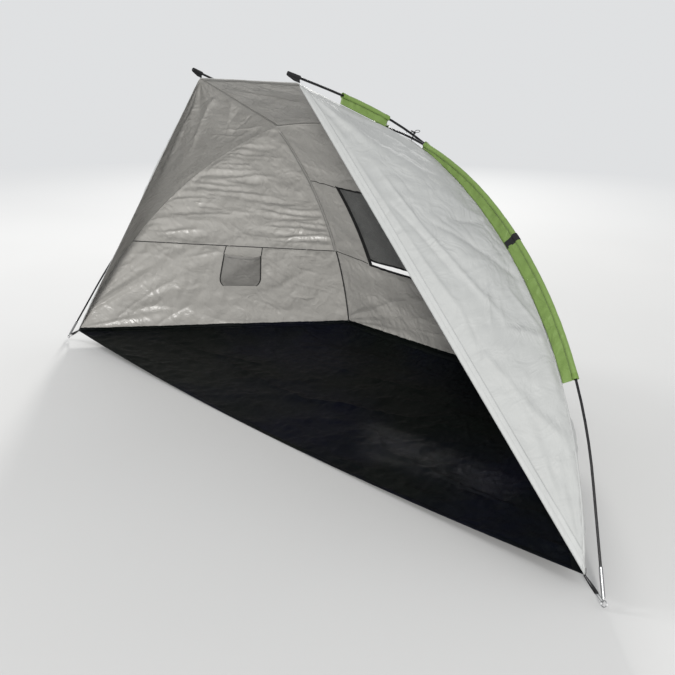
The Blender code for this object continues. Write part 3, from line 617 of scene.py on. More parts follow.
def wing_panel(side):
    """Fan of the eave corner: u turns from the front edge to the eave seam, v runs out to the hoop seam."""
    apex, front = eave_corner(side), front_corner(side)
    seam_at = np.linspace(0, 1, 400)
    ribs = hoop_seam(side, seam_at) - apex
    edge = unit(front - apex)
    turns = np.arccos(np.clip(unit(ribs) @ edge, -1, 1))
    top_edge = unit(junction(side) - apex)
    fullest = turns[-1]

    def seam_t(u):
        return np.interp(u * fullest, turns, seam_at)

    def surface(u, v):
        return mix(apex, hoop_seam(side, seam_t(u)), v)

    def folds(u, v, s, t):
        places = surface(u, v) - apex
        radius = size(places)
        from_front = radius * np.sin(u * fullest)
        from_top = radius * np.sin((1 - u) * fullest)
        from_hoop = (1 - v) * size(hoop_seam(side, seam_t(u)) - apex)
        foot = size(surface(u, v) - front)
        seed = WING_SEED[side]
        height = fan(u * 8, radius, seed, 0.0085, 0.75)
        height += fan(from_front / np.maximum(foot, 0.02) * 9, foot, seed + 1, 0.0085, 0.6)
        height += 0.0080 * noise(s / 0.26, t / 0.17, seed + 2) * rise(from_front, 0.2)
        height += crumple(s, t, seed + 3, 0.0075, 0.12, 1.9) * rise(from_front, 0.08)
        height += scatter(radius, from_front, seed + 5, 30, (0.25, 0.05), (1.45, 0.38), 0.35, 0.0036)
        height += creases(from_front, radius, WING_CREASES[side])
        height *= rise(from_hoop, 0.05) * (0.12 + 0.88 * rise(from_front, 0.06)) * rise(from_top, 0.04)
        height += puckers(seam_t(u) * 1.5, from_hoop, seed + 7, 0.0027, 0.017, 0.032)
        return height + puckers(radius, from_front, seed + 8, 0.0010, 0.02, 0.03) * rise(from_top, 0.04)

    axes = (edge, np.cross(edge, np.cross(top_edge, edge)))
    outward = np.array((side * 0.5, -1.0, 0.6))
    made = Panel(surface, axes, outward, folds)
    made.fullest = fullest
    return made


# Long folds of the wings: start and end as (distance from the front edge, distance from the eave corner),
# height, half width, bow.
WING_CREASES = {
    1: (
        ((0.035, 0.20), (0.085, 0.95), 0.0065, 0.008, 0.012),
        ((0.080, 0.32), (0.200, 1.02), 0.0070, 0.008, 0.020),
        ((0.110, 0.55), (0.330, 0.95), -0.0065, 0.008, -0.015),
        ((0.150, 0.95), (0.330, 1.12), 0.0060, 0.006, 0.004),
        ((0.060, 0.92), (0.150, 1.35), 0.0055, 0.007, 0.010),
        ((0.200, 0.60), (0.360, 0.72), -0.0050, 0.007, 0.010),
        ((0.100, 1.18), (0.210, 1.42), 0.0050, 0.006, 0.006),
        ((0.050, 0.45), (0.120, 0.78), -0.0045, 0.006, -0.006),
        ((0.240, 0.85), (0.300, 1.20), 0.0045, 0.006, 0.012),
    ),
    -1: (
        ((0.030, 0.10), (0.075, 0.80), 0.0090, 0.013, 0.006),
        ((0.070, 0.12), (0.160, 0.70), 0.0100, 0.012, 0.008),
        ((0.110, 0.12), (0.230, 0.55), 0.0085, 0.011, 0.006),
        ((0.150, 0.14), (0.300, 0.44), 0.0060, 0.009, 0.004),
        ((0.230, 0.42), (0.390, 0.50), 0.0050, 0.006, 0.000),
        ((0.250, 0.39), (0.400, 0.46), 0.0045, 0.006, 0.000),
        ((0.060, 0.75), (0.130, 1.15), 0.0055, 0.008, -0.010),
    ),
}


def wall_panel(side):
    """Side wall from the hoop seam, v = 0, to the rear corner seam, v = 1; u climbs from floor to top."""
    def surface(u, v):
        return mix(hoop_seam(side, u), rear_seam(side, u), v)

    along = unit(rear_corner(side) - front_corner(side))
    up = unit(junction(side) - (front_corner(side) + rear_corner(side)) / 2)
    middle_height = np.linalg.norm(rear_seam(side, 0.5) - rear_seam(side, 0.0)) * 2
    origin = front_corner(side)

    def folds(u, v, s, t):
        width = wall_width(side, u)
        from_hoop, from_rear = v * width, (1 - v) * width
        from_floor = u * middle_height
        from_seam = np.abs(u - SILL) * middle_height
        x, y = s - origin @ along, t - origin @ up
        seed = WALL_SEED[side]
        wander = 0.8 * noise(x / 0.40, y / 0.25, seed)
        swags = ridge(x / 0.36, (y - 0.22 * x) / 0.042 + wander, seed + 1) - 0.45
        upper = rise(u - SILL, 0.06) * rise(1 - u, 0.25)
        strength = 0.35 + 0.65 * rise(0.5 - x, 0.9) + 0.6 * noise(x / 0.3, y / 0.2, seed + 2)
        height = 0.0170 * swags * upper * strength
        height += crumple(x, y, seed + 3, 0.0125, 0.13, 2.0)
        height += 0.0070 * noise(x / 0.22, y / 0.13, seed + 9)
        lean = np.arctan2(from_floor, np.maximum(from_hoop, 1e-3) + 0.10)
        height += fan(lean * 8, np.hypot(from_hoop, from_floor), seed + 6, 0.0120, 0.50)
        height += scatter(x, y, seed + 5, 46, (0.15, 0.03), (1.25, 0.95), 0.55)
        height += creases(x, y, WALL_CREASES[side])
        if side < 0:
            height *= rise(pocket_gap(u, v), 0.05)
        height *= rise(from_hoop, 0.03) * rise(from_rear, 0.03) * rise(from_floor, 0.03)
        height *= 0.2 + 0.8 * rise(from_seam, 0.03)
        height += puckers(u * 1.5, from_hoop, seed + 10, 0.0026)
        height += puckers(x, from_seam, seed + 11, 0.0042, 0.024, 0.045)
        return height + puckers(x, from_floor, seed + 12, 0.0032, 0.020, 0.04)

    return Panel(surface, (along, up), (side, 0.4, 0.3), folds)


# Long folds of the side walls: start and end as (distance along the floor, height), height, half width, bow.
WALL_CREASES = {
    -1: (
        ((0.47, 0.44), (1.16, 0.66), 0.0060, 0.007, 0.030),
        ((0.42, 0.66), (0.80, 0.77), 0.0045, 0.006, 0.004),
        ((0.66, 0.02), (1.26, 0.30), 0.0065, 0.007, -0.035),
        ((0.70, 0.02), (1.15, 0.20), 0.0050, 0.006, -0.020),
        ((0.52, 0.20), (1.02, 0.10), 0.0035, 0.006, 0.010),
        ((0.15, 0.05), (0.50, 0.36), 0.0050, 0.008, 0.015),
        ((0.30, 0.03), (0.58, 0.25), 0.0040, 0.007, 0.010),
        ((0.78, 0.16), (1.22, 0.02), -0.0030, 0.006, 0.010),
    ),
    1: (
        ((0.30, 0.50), (1.05, 0.60), 0.0055, 0.008, 0.030),
        ((0.55, 0.72), (0.95, 0.62), 0.0045, 0.007, 0.010),
        ((0.20, 0.05), (0.70, 0.30), 0.0055, 0.008, 0.020),
        ((0.60, 0.04), (1.20, 0.22), 0.0050, 0.007, -0.030),
        ((0.40, 0.30), (0.90, 0.14), 0.0040, 0.007, 0.015),
    ),
}

POCKET_FROM, POCKET_TO, POCKET_TOP, POCKET_BOTTOM = 0.453, 0.63, 0.323, 0.180
POCKET_LEAN, POCKET_STANDOFF, POCKET_BULGE = 0.016, 0.0026, 0.0205


def pocket_gap(u, v):
    """Distance in metres outside the pocket and its posts, roughly."""
    beside = np.maximum(np.maximum(POCKET_FROM - v, v - POCKET_TO), 0) * 1.2
    above = np.maximum(np.maximum(POCKET_BOTTOM - u, u - SILL), 0) * 1.1
    return np.hypot(beside, above)


def rear_panel():
    """Rear wall: u climbs from floor to crown, v runs from the left seam to the right one."""
    edge = (REAR_HALF - WINDOW_SILL_HALF) / 2 / REAR_HALF

    def x_at(u, v):
        side = rear_seam(1, u)[..., 0]
        half = window_half(np.clip(u, SILL, HEAD))
        middle = half * (v - 0.5) / (0.5 - edge)
        beside = half + (side - half) * (np.abs(v - 0.5) - 0.5 + edge) / edge
        return np.where(np.abs(v - 0.5) < 0.5 - edge, middle, np.sign(v - 0.5) * beside)

    def surface(u, v):
        return rear_point(u, x_at(u, v))

    tall = np.linalg.norm(rear_seam(1, 0.5) - rear_seam(1, 0.0)) * 2

    def folds(u, v, s, t):
        x = x_at(u, v)
        from_side = rear_seam(1, u)[..., 0] - np.abs(x)
        half = window_half(np.clip(u, SILL, HEAD))
        beyond = np.maximum(np.maximum(SILL - u, u - HEAD) * tall, np.abs(x) - half)
        from_window = np.maximum(beyond, 0)
        from_floor, from_crown = u * tall, (1 - u) * tall
        height = 0.0080 * noise(x / 0.22, t / 0.13, 131) + crumple(x, t, 132, 0.0085, 0.13, 1.9)
        lean = np.arctan2(from_floor, from_side + 0.05)
        height += fan(lean * 6, np.hypot(from_side, from_floor), 135, 0.0095, 0.4)
        height += scatter(x, from_floor, 136, 40, (-0.5, 0.03), (0.5, 1.0), 0.6, 0.0040)
        height += creases(x, from_floor, REAR_CREASES)
        height *= rise(from_side, 0.03) * rise(from_window, 0.06) * rise(from_floor, 0.03)
        height *= rise(from_crown, 0.03)
        height += puckers(x, np.abs(u - SILL) * tall, 137, 0.0030, 0.022, 0.035)
        height += puckers(x, np.abs(u - HEAD) * tall, 138, 0.0024, 0.022, 0.03)
        return height + puckers(x, from_floor, 139, 0.0032, 0.020, 0.04)

    climb = unit(junction(1) - rear_corner(1)) * np.array((0, 1, 1))
    made = Panel(surface, ((1, 0, 0), climb), (0, 1, 0.3), folds)
    made.edge = edge
    return made


# Long folds of the rear wall: start and end as (distance from the middle, height), height, half width, bow.
REAR_CREASES = (
    ((-0.48, 0.05), (-0.10, 0.30), 0.0045, 0.008, 0.020),
    ((0.05, 0.28), (0.45, 0.08), 0.0045, 0.008, 0.015),
    ((-0.30, 0.85), (0.20, 0.92), 0.0035, 0.007, 0.010),
    ((-0.20, 0.10), (0.30, 0.16), 0.0030, 0.006, -0.010),
)


def roof_panel():
    """Roof: u runs along the front hem, v runs back to the crown seam."""
    def surface(u, v):
        return mix(mix(eave_corner(-1), eave_corner(1), u), crown_seam(u), v)

    back = unit(junction(1) * np.array((0, 1, 1)) - eave_corner(1) * np.array((0, 1, 1)))

    def folds(u, v, s, t):
        from_side = np.minimum(u, 1 - u) * 2 * (EAVE_HALF + (JOIN_HALF - EAVE_HALF) * v)
        y = v * ROOF_DEEP
        from_crown = (1 - v) * ROOF_DEEP
        height = 0.0055 * noise(s / 0.17, y / 0.14, 151) + crumple(s, y, 152, 0.0065, 0.12, 1.6)
        height += creases(s, y, ROOF_CREASES)
        height *= rise(from_side, 0.03) * rise(from_crown, 0.03) * (0.15 + 0.85 * rise(y, 0.04))
        return height + puckers(s, from_crown, 153, 0.0010, 0.02, 0.03)

    return Panel(surface, ((1, 0, 0), back), (0, -0.2, 1), folds)


# Long folds of the roof: start and end as (distance from the middle, distance from the front hem).
ROOF_CREASES = (
    ((-0.22, 0.05), (0.16, 0.30), 0.0055, 0.008, 0.020),
    ((-0.05, 0.40), (0.22, 0.12), -0.0030, 0.008, 0.010),
)


def floor_rise(x, y):
    """Height of the groundsheet: flat in the middle, lifted along its rim to the corners."""
    depth = (y + DEPTH / 2) / DEPTH
    across = np.abs(x) / (FRONT_HALF + (REAR_HALF - FRONT_HALF) * depth)
    flat = FLOOR_FLAT_HALF * np.minimum(1.0, depth / FLOOR_FLAT_FROM)
    sideways = np.clip((across - flat) / (1 - flat), 0, 1) ** 2
    backwards = np.clip((depth - FLOOR_FLAT_TO) / (1 - FLOOR_FLAT_TO), 0, 1) ** 2
    return LIFT * (1 - (1 - sideways) * (1 - backwards))


def floor_panel():
    """Groundsheet: u runs from left to right, v from the open front to the rear wall."""
    def surface(u, v):
        half = FRONT_HALF + (REAR_HALF - FRONT_HALF) * v - FLOOR_INSET
        x, y = half * (2 * u - 1), DEPTH * (v - 0.5) - FLOOR_INSET * v
        return np.stack([x, y, floor_rise(x, y) + FLOOR_TOP], axis=-1)

    def folds(u, v, s, t):
        half = FRONT_HALF + (REAR_HALF - FRONT_HALF) * v
        from_side = np.minimum(u, 1 - u) * 2 * half
        from_front, from_rear = v * DEPTH, (1 - v) * DEPTH
        rim = np.minimum(from_side, from_rear)
        height = crumple(s, t, 161, 0.0085, 0.15, 1.8) + crumple(s, t, 165, 0.0050, 0.06, 1.3)
        height += 0.0050 * noise(s / 0.18, t / 0.11, 168)
        height += crumple(s, t, 171, 0.0110, 0.045, 1.0) * np.exp(-((rim / 0.12) ** 2))
        height += scatter(s, t, 169, 90, (-1.2, -0.5), (1.2, 0.5), 0.5, 0.0040, 0.008)
        height += creases(s, t, FLOOR_CREASES)
        height *= rise(rim, 0.03) * rise(from_front, 0.02)
        return np.logaddexp(0.0, (height + 0.0020) / 0.0016) * 0.0016 - 0.0002

    return Panel(surface, ((1, 0, 0), (0, 1, 0)), (0, 0, 1), folds)


# Long folds of the groundsheet: start and end as (x, y), height, half width, bow.
FLOOR_CREASES = (
    ((-1.15, -0.34), (-0.35, -0.05), 0.0050, 0.007, 0.02),
    ((-0.85, -0.15), (0.05, -0.22), 0.0055, 0.007, -0.02),
    ((-0.30, -0.32), (0.62, 0.05), 0.0050, 0.008, 0.03),
    ((0.20, -0.30), (1.10, -0.36), 0.0045, 0.007, 0.01),
    ((-0.55, 0.10), (0.40, 0.25), 0.0050, 0.008, -0.02),
    ((0.15, -0.10), (0.55, -0.42), 0.0035, 0.006, 0.01),
    ((-0.40, 0.42), (0.30, 0.38), 0.0040, 0.007, 0.01),
)


# -------- cloth on the panels
HEM_WIDTH = 0.030
SEAM_LIFT, HEM_LIFT, TOP_LIFT = 0.0006, 0.0007, 0.0014
COVER, FLOOR_FILM, WEBBING, SLEEVE = "cover_fabric", "groundsheet_film", "webbing_black", "sleeve_green"


def inside(gap):
    """Lift that brings a strip under the inner face of a panel."""
    return -CLOTH - gap


def stand_in(piece, slot, *nodes):
    """Let the piece stand for CAD nodes by hiding them; the slot is not used."""
    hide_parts(*nodes)


def declare(panel, flat):
    """Take the smaller of the sheet's smooth area and the product of its outline's sides; the result is not
    kept.
    """
    min(panel.cut, flat[0] * flat[1])


def even(start, end, step):
    """Numbers from start to end, at most step apart."""
    return np.linspace(start, end, max(2, math.ceil((end - start) / step) + 1))


def even_through(stops, step):
    """Numbers at most step apart, with every stop among them."""
    parts = [even(start, end, step)[:-1] for start, end in zip(stops, stops[1:])]
    return np.concatenate([*parts, stops[-1:]])


def lengths(points, axis):
    """Distance in metres from the first point, along one axis of an array of points."""
    steps = size(np.diff(points, axis=axis))
    start = np.zeros_like(np.take(steps, [0], axis=axis))
    return np.concatenate([start, np.cumsum(steps, axis=axis)], axis=axis)


def own_uv(points):
    return np.stack([lengths(points, 0), lengths(points, 1)], axis=-1)


def cloth(name, panel, us, vs, keep=None):
    """The whole panel as one sheet, silver outside and grey inside."""
    u, v = np.meshgrid(us, vs, indexing="ij")
    uv = np.stack(panel.flat(u, v), axis=-1)
    panel.cut = panel.cut_area(us, vs, keep)
    return grid(name, panel.at(u, v), uv, [OUTER, INNER], keep=keep, outward=panel.middle_normal())


def strip(name, panel, runs, places, span, columns, lift, look, thickness=TAPE, body=SHELTER):
    """Narrow cloth laid on a panel, at places along u or v, as runs says, and over span across it."""
    low, high = (np.broadcast_to(end, places.shape)[:, None] for end in span)
    across = low + (high - low) * np.linspace(0, 1, columns + 1)
    along = np.repeat(places[:, None], columns + 1, axis=1)
    u, v = (along, across) if runs == "u" else (across, along)
    points = panel.at(u, v, lift)
    outward = panel.middle_normal() * (1 if lift >= 0 else -1)
    piece = grid(name, points, own_uv(points), [look], thickness, outward=outward, body=body)
    return piece


def build_wings():
    for side, word in SIDES:
        panel = wing_panel(side)
        piece = cloth(f"{word}_wing", panel, np.linspace(0, 1, 181), even(0.010, 1.0, 0.0050))
        stand_in(piece, COVER, f"{word}_wing_panel")
        declare(panel, (1.62, 0.62))
        places = even(0.03, 0.998, 0.006)
        reach = np.linalg.norm(front_corner(side) - eave_corner(side))
        turn = np.arcsin(np.minimum(1.0, HEM_WIDTH / (places * reach))) / panel.fullest
        span = (0.0, np.minimum(turn, 1.0))
        strip(f"{word}_wing_hem_outer", panel, "v", places, span, 6, HEM_LIFT, HEM)
        strip(f"{word}_wing_hem_inner", panel, "v", places, span, 6, inside(HEM_LIFT), HEM_INNER)
        places = even(0.0, 0.995, 0.006)
        strip(f"{word}_hoop_seam_tape", panel, "u", places, (0.990, 0.9995), 3, SEAM_LIFT, HEM)


def turned_up(name, panel, v, rim, inner):
    """Edge of the groundsheet, turned up against the foot of a wall and sewn to it inside and outside."""
    over = np.array((0, 0, 0.0012))
    heights = (0.004, 0.008, 0.0125)
    folded = [inner + over, rim + over]
    folded += [panel.at(np.full_like(v, t), v, inside(0.0010)) for t in (0.0008, *heights)]
    outer = [panel.at(np.full_like(v, t), v, 0.0016) for t in (0.0, *heights)]
    for face, rows in (("inner", folded), ("outer", outer)):
        points = np.stack(rows, axis=1)
        grid(f"{name}_{face}", points, own_uv(points), [FILM], 0.0004)


def build_walls():
    floor = floor_panel()
    for side, word in SIDES:
        panel = wall_panel(side)
        piece = cloth(f"{word}_wall", panel, even(0.0, 0.998, 0.0046), even(0.0, 1.0, 0.0044))
        stand_in(piece, COVER, f"{word}_side_wall_lower", f"{word}_side_wall_upper")
        declare(panel, (1.34, 1.12))
        build_wall_seams(panel, side, word)
        v = even(0.0, 1.0, 0.006)
        rim = floor.at(np.full_like(v, 0.5 + side * 0.5), v)
        inner = floor.at(0.5 + side * (0.494 - 0.006 * (1 - v)), v)
        turned_up(f"{word}_floor_band", panel, v, rim, inner)


def build_wall_seams(panel, side, word):
    """The level seam of a side wall, and the tape and dark line up its rear corner."""
    places = even(0.004, 0.996, 0.007)
    span = (SILL - SEAM_HALF, SILL + SEAM_HALF)
    strip(f"{word}_wall_seam_inner", panel, "v", places, span, 2, inside(SEAM_LIFT), SEAM_DARK)
    strip(f"{word}_wall_seam_outer", panel, "v", places, span, 2, SEAM_LIFT, SEAM)
    places = even(0.004, 0.97, 0.007)
    wide = np.where(places < SILL, 0.0055, 0.013) / wall_width(side, places)
    strip(f"{word}_corner_tape_inner", panel, "u", places, (1 - wide, 0.9995), 2, inside(HEM_LIFT), SEAM_TAPE)
    places = even(0.004, SILL, 0.007)
    wide = 0.006 / wall_width(side, places)
    strip(f"{word}_corner_line_inner", panel, "u", places, (1 - wide, 0.9998), 2, inside(TOP_LIFT), SEAM_DARK)


def build_rear(panel):
    edge = panel.edge
    us = even_through((0.0, SILL, HEAD, 1.0), 0.005)
    vs = even_through((0.0, edge, 1 - edge, 1.0), 0.005)
    middle_u, middle_v = (us[1:] + us[:-1]) / 2, (vs[1:] + vs[:-1]) / 2
    beside = np.abs(middle_v - 0.5) < 0.5 - edge
    hole = ((middle_u > SILL) & (middle_u < HEAD))[:, None] & beside[None, :]
    piece = cloth("rear_wall", panel, us, vs, ~hole)
    stand_in(piece, COVER, "rear_wall_lower", "rear_wall_upper", "rear_wall_beside_window_left",
             "rear_wall_beside_window_right")
    declare(panel, (1.14, 1.24))
    for level, word in ((SILL, "sill"), (HEAD, "head")):
        span = (level - SEAM_HALF, level + SEAM_HALF)
        strip(f"rear_{word}_seam_outer", panel, "v", even(0.003, 0.997, 0.007), span, 2, SEAM_LIFT, SEAM)
        for low, high, hand in ((0.003, edge - 0.012, "left"), (1.012 - edge, 0.997, "right")):
            places = even(low, high, 0.007)
            strip(f"rear_{word}_seam_inner_{hand}", panel, "v", places, span, 2, inside(SEAM_LIFT), SEAM_DARK)
    floor = floor_panel()
    v = even(0.0, 1.0, 0.006)
    turned_up("rear_floor_band", panel, v, floor.at(v, np.ones_like(v)), floor.at(v, np.full_like(v, 0.98)))


# -------- window
BINDING_SIDE, BINDING_END = 0.022, 0.007
BINDING_LIFT, BINDING_THICK = 0.0008, (0.0007, 0.0009)
SCREEN_OVERLAP, SCREEN_SHORT = 0.012, 0.018
# Long folds of the screen: start and end as (across, below its head), height.
SCREEN_CREASES = (
    ((-0.25, 0.02), (0.0, 0.38), 0.0050),
    ((-0.05, 0.02), (0.2, 0.36), 0.0045),
    ((0.1, 0.04), (0.29, 0.30), 0.0040),
)


def window_height():
    head, sill = (rear_point(np.array(level), np.array(0.0)) for level in (HEAD, SILL))
    return np.linalg.norm(head - sill)


def build_binding(panel):
    """Black binding round the window opening."""
    edge = panel.edge
    end = BINDING_END / window_height() * (HEAD - SILL)
    wide = BINDING_SIDE / (2 * WINDOW_SILL_HALF) * (1 - 2 * edge)
    places = even(SILL - end, HEAD + end, 0.006)
    left, right = (edge - 0.004, edge + wide - 0.004), (1 - edge - wide - 0.004, 1 - edge)
    for hand, span in (("left", left), ("right", right)):
        made = strip(f"window_binding_{hand}", panel, "u", places, span, 5, inside(BINDING_LIFT), BLACK,
                     BINDING_THICK[1])
        if hand == "left":
            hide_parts("window_binding")
    places = even(edge - 0.004, 1.004 - edge, 0.006)
    head, sill = (HEAD - end * 0.4, HEAD + end), (SILL - end * 1.5, SILL + end * 0.4)
    for word, span in (("head", head), ("sill", sill)):
        strip(f"window_binding_{word}", panel, "v", places, span, 3, inside(TOP_LIFT), BLACK,
              BINDING_THICK[0])


def screen_panel():
    """The mesh screen: u climbs from its hem to its head, v runs from left to right."""
    hem_level = SILL + (HEAD - SILL) * SCREEN_SHORT / window_height()
    half = WINDOW_SILL_HALF + SCREEN_OVERLAP
    drop = window_height() - SCREEN_SHORT

    def surface(u, v):
        t = hem_level + (HEAD - hem_level) * u
        return rear_point(t, (window_half(t) + SCREEN_OVERLAP) * (2 * v - 1))

    def folds(u, v, s, t):
        x, y = half * (2 * v - 1), (1 - u) * drop
        free = rise(y, 0.05)
        height = 0.0062 + free * (0.0060 * noise(x / 0.11 - y / 0.2, y / 0.25, 181)
                                  + crumple(x + 0.6 * y, y, 182, 0.0075, 0.10, 1.7))
        for start, stop, deep in SCREEN_CREASES:
            height += free * crease(x, y, start, stop, deep, 0.010, 0.015)
        return np.maximum(height, 0.0035)

    return Panel(surface, ((1, 0, 0), (0, -0.6, 0.8)), (0, 1, 0.3), folds)


def build_screen():
    """The mesh screen that hangs outside the opening, with its hem and side tapes."""
    screen = screen_panel()
    u, v = np.meshgrid(even(0.0, 1.0, 0.013), even(0.0, 1.0, 0.0085), indexing="ij")
    piece = grid("window_screen_cloth", screen.at(u, v), np.stack(screen.flat(u, v), axis=-1), [MESH], 0.0004,
                 outward=(0, 1, 0.3), body=SCREEN_BODY)
    stand_in(piece, "screen_mesh", "window_screen")
    taped = [strip("window_screen_hem", screen, "v", even(0.0, 1.0, 0.009), (0.0, 0.028), 3, SEAM_LIFT, BLACK,
                   0.0016, SCREEN_BODY)]
    for hand, span in (("left", (0.0, 0.020)), ("right", (0.980, 1.0))):
        taped.append(strip(f"window_screen_edge_{hand}", screen, "u", even(0.0, 1.0, 0.014), span, 2, SEAM_LIFT,
                           BLACK, 0.0008, SCREEN_BODY))


# -------- roof, floor and pocket
def build_roof():
    panel = roof_panel()
    piece = cloth("roof", panel, even(0.0, 1.0, 0.0085), even(0.0, 1.0, 0.0105))
    stand_in(piece, COVER, "roof_panel")
    declare(panel, (0.70, 0.50))
    places = even(0.004, 0.996, 0.012)
    strip("roof_hem_outer", panel, "u", places, (0.0, 0.050), 4, HEM_LIFT, HEM)
    strip("roof_hem_inner", panel, "u", places, (0.0, 0.050), 4, inside(HEM_LIFT), HEM_INNER)
    strip("crown_seam_tape", panel, "u", places, (0.974, 0.9995), 3, inside(HEM_LIFT), SEAM_TAPE)
    places = even(0.03, 0.97, 0.014)
    for word, span in (("left", (0.0005, 0.018)), ("right", (0.982, 0.9995))):
        strip(f"{word}_eave_seam_tape", panel, "v", places, span, 3, inside(HEM_LIFT), SEAM_TAPE)


def build_floor():
    panel = floor_panel()
    us, vs = even(0.0, 1.0, 0.0034), even(0.0, 1.0, 0.0082)
    u, v = np.meshgrid(us, vs, indexing="ij")
    points = panel.at(u, v)
    panel.cut = panel.cut_area(us, vs)
    piece = grid("floor_sheet", points, points[..., :2], [FILM], 0.0008, outward=(0, 0, 1))
    stand_in(piece, FLOOR_FILM, "groundsheet")
    declare(panel, (2.69, 1.08))
    places = even(0.001, 0.999, 0.0034)
    strip("floor_front_hem", panel, "u", places, (0.0, 0.014), 3, 0.0008, FILM, 0.0007)


def pocket_panel(wall, inward):
    """Small open-topped pocket with rounded lower corners: u runs down it, v across."""
    def surface(u, v):
        across = 2 * v - 1
        rounding = 1 - 0.20 * np.clip((u - 0.72) / 0.28, 0, 1) ** 2.4
        t = POCKET_TOP + (POCKET_BOTTOM - POCKET_TOP) * u
        middle = (POCKET_FROM + POCKET_TO) / 2 + POCKET_LEAN * u
        share = middle + (POCKET_TO - POCKET_FROM) / 2 * across * rounding
        bulge = (1 - across**4) * (1 - u**3)
        sag = 0.004 * bulge * np.sin(u * 5 + across * 2)
        return wall.surface(t, share) + inward * (POCKET_STANDOFF + POCKET_BULGE * bulge + sag)[..., None]

    def folds(u, v, s, t):
        soft = rise(u, 0.1) * rise(1 - u, 0.15) * rise(np.minimum(v, 1 - v), 0.08)
        return (0.0035 * noise(s / 0.06, t / 0.08, 191) + crumple(s, t, 192, 0.0022, 0.05, 1.5)) * soft

    return Panel(surface, wall.axes, inward, folds)


def build_pocket():
    """The pocket on the left wall, and the two seams that carry it from the level seam."""
    wall = wall_panel(-1)
    inward = -wall.normal(np.array([0.27]), np.array([0.52]))[0]
    panel = pocket_panel(wall, inward)
    us, vs = np.linspace(0, 1, 49), np.linspace(0, 1, 61)
    u, v = np.meshgrid(us, vs, indexing="ij")
    uv = np.stack(panel.flat(u, v), axis=-1)
    piece = grid("pocket_cloth", panel.at(u, v), uv, [POCKET], outward=inward)
    stand_in(piece, COVER, "wall_pocket")
    edges = [strip("pocket_mouth_hem", panel, "u", np.linspace(0, 0.07, 5), (0.0, 1.0), 60, 0.0005, POCKET)]
    places = np.linspace(0, 1, 40)
    # Dark strips down both sides of the pocket: its side seams, drawn dark also as painted shade where the
    # pocket's sides meet the wall.
    for hand, span in (("left", (0.0, 0.03)), ("right", (0.97, 1.0))):
        edges.append(strip(f"pocket_seam_and_painted_shade_{hand}", panel, "u", places, span, 2, SEAM_LIFT, SEAM_DARK))
    panel.cut_area(us, vs)
    places = even(POCKET_TOP, SILL - 0.002, 0.004)
    for hand, share in (("left", POCKET_FROM), ("right", POCKET_TO)):
        span = (share - 0.0022, share + 0.0022)
        strip(f"pocket_post_{hand}", wall, "u", places, span, 2, inside(0.0011), SEAM_DARK)


# -------- sleeves
FIN_POINTS, TURN_POINTS = 9, 19


def sleeve_profile():
    """Round the sleeve: share of the fin's depth, turn about the pole, and side, 0 on the round part."""
    fin = np.linspace(1, 0.08, FIN_POINTS)
    still, ones = np.zeros(FIN_POINTS), np.ones(FIN_POINTS)
    turns = np.concatenate([still, np.linspace(0.42, 2 * math.pi - 0.42, TURN_POINTS), still])
    share = np.concatenate([fin, np.zeros(TURN_POINTS), np.linspace(0.08, 1, FIN_POINTS)])
    hand = np.concatenate([ones, np.zeros(TURN_POINTS), -ones])
    return share, turns, hand


def sleeve_frame(cores, seam):
    """At each point of the pole: the ways to the seam and square to it, and the distance to it."""
    seam_points = seam(np.linspace(0, 1, 600))
    nearest = np.argmin(size(cores[:, None] - seam_points[None]), axis=1)
    tangents = unit(np.gradient(cores, axis=0))
    reach = seam_points[nearest] - cores
    inward = unit(reach - (reach * tangents).sum(-1, keepdims=True) * tangents)
    return inward, unit(np.cross(tangents, inward)), size(reach)


def build_sleeve(name, path, start, end, seam, seed):
    """Fin of doubled cloth sewn in a seam, folded round the pole at its outer edge."""
    stations = even(start, end, 0.0055)
    cores = path.at(stations)
    inward, side, reach = sleeve_frame(cores, seam)
    depth = reach - 0.002
    share, turns, hand = sleeve_profile()
    flat = np.abs(hand) > 0
    x = stations[:, None] * np.ones_like(share)
    fall = depth[:, None] * share
    wave = 0.0040 * noise(x / 0.07, fall / 0.06, seed) + 0.0034 * noise(x / 0.024, fall / 0.05, seed + 1)
    wave = wave * np.where(flat, np.sin(math.pi * np.clip(share, 0, 1)), 0.0)
    flare = np.exp(-((stations - start) / 0.02) ** 2) + np.exp(-((end - stations) / 0.02) ** 2)
    round_part = CHANNEL + 0.0005 * noise(x / 0.03, turns / 1.5, seed + 2) + 0.0009 * flare[:, None]
    across = np.where(flat, hand * 0.0012, np.sin(turns) * round_part) + wave
    outwards = np.where(flat, fall, np.cos(turns) * round_part)
    points = cores[:, None] + inward[:, None] * outwards[..., None] + side[:, None] * across[..., None]
    uv = np.stack([x, lengths(points, 1)], axis=-1)
    piece = grid(f"{name}_cloth", points, uv, [GREEN], 0.0005)
    stand_in(piece, SLEEVE, name)
    width = float(lengths(points, 1)[:, -1].mean())
    for end_word, keep in (("start", slice(0, 4)), ("end", slice(len(stations) - 4, len(stations)))):
        away = unit(points[keep] - cores[keep].mean(0) - inward[keep][:, None] * 0.004)
        shown = points[keep] + side[keep][:, None] * (np.sign(across[keep]) * 0.0004)[..., None]
        shown = shown + away * np.where(flat, 0.0, 0.0005)[None, :, None]
        hem = grid(f"{name}_cloth_hem_{end_word}", shown, uv[keep][..., ::-1], [GREEN_HEM], 0.0)


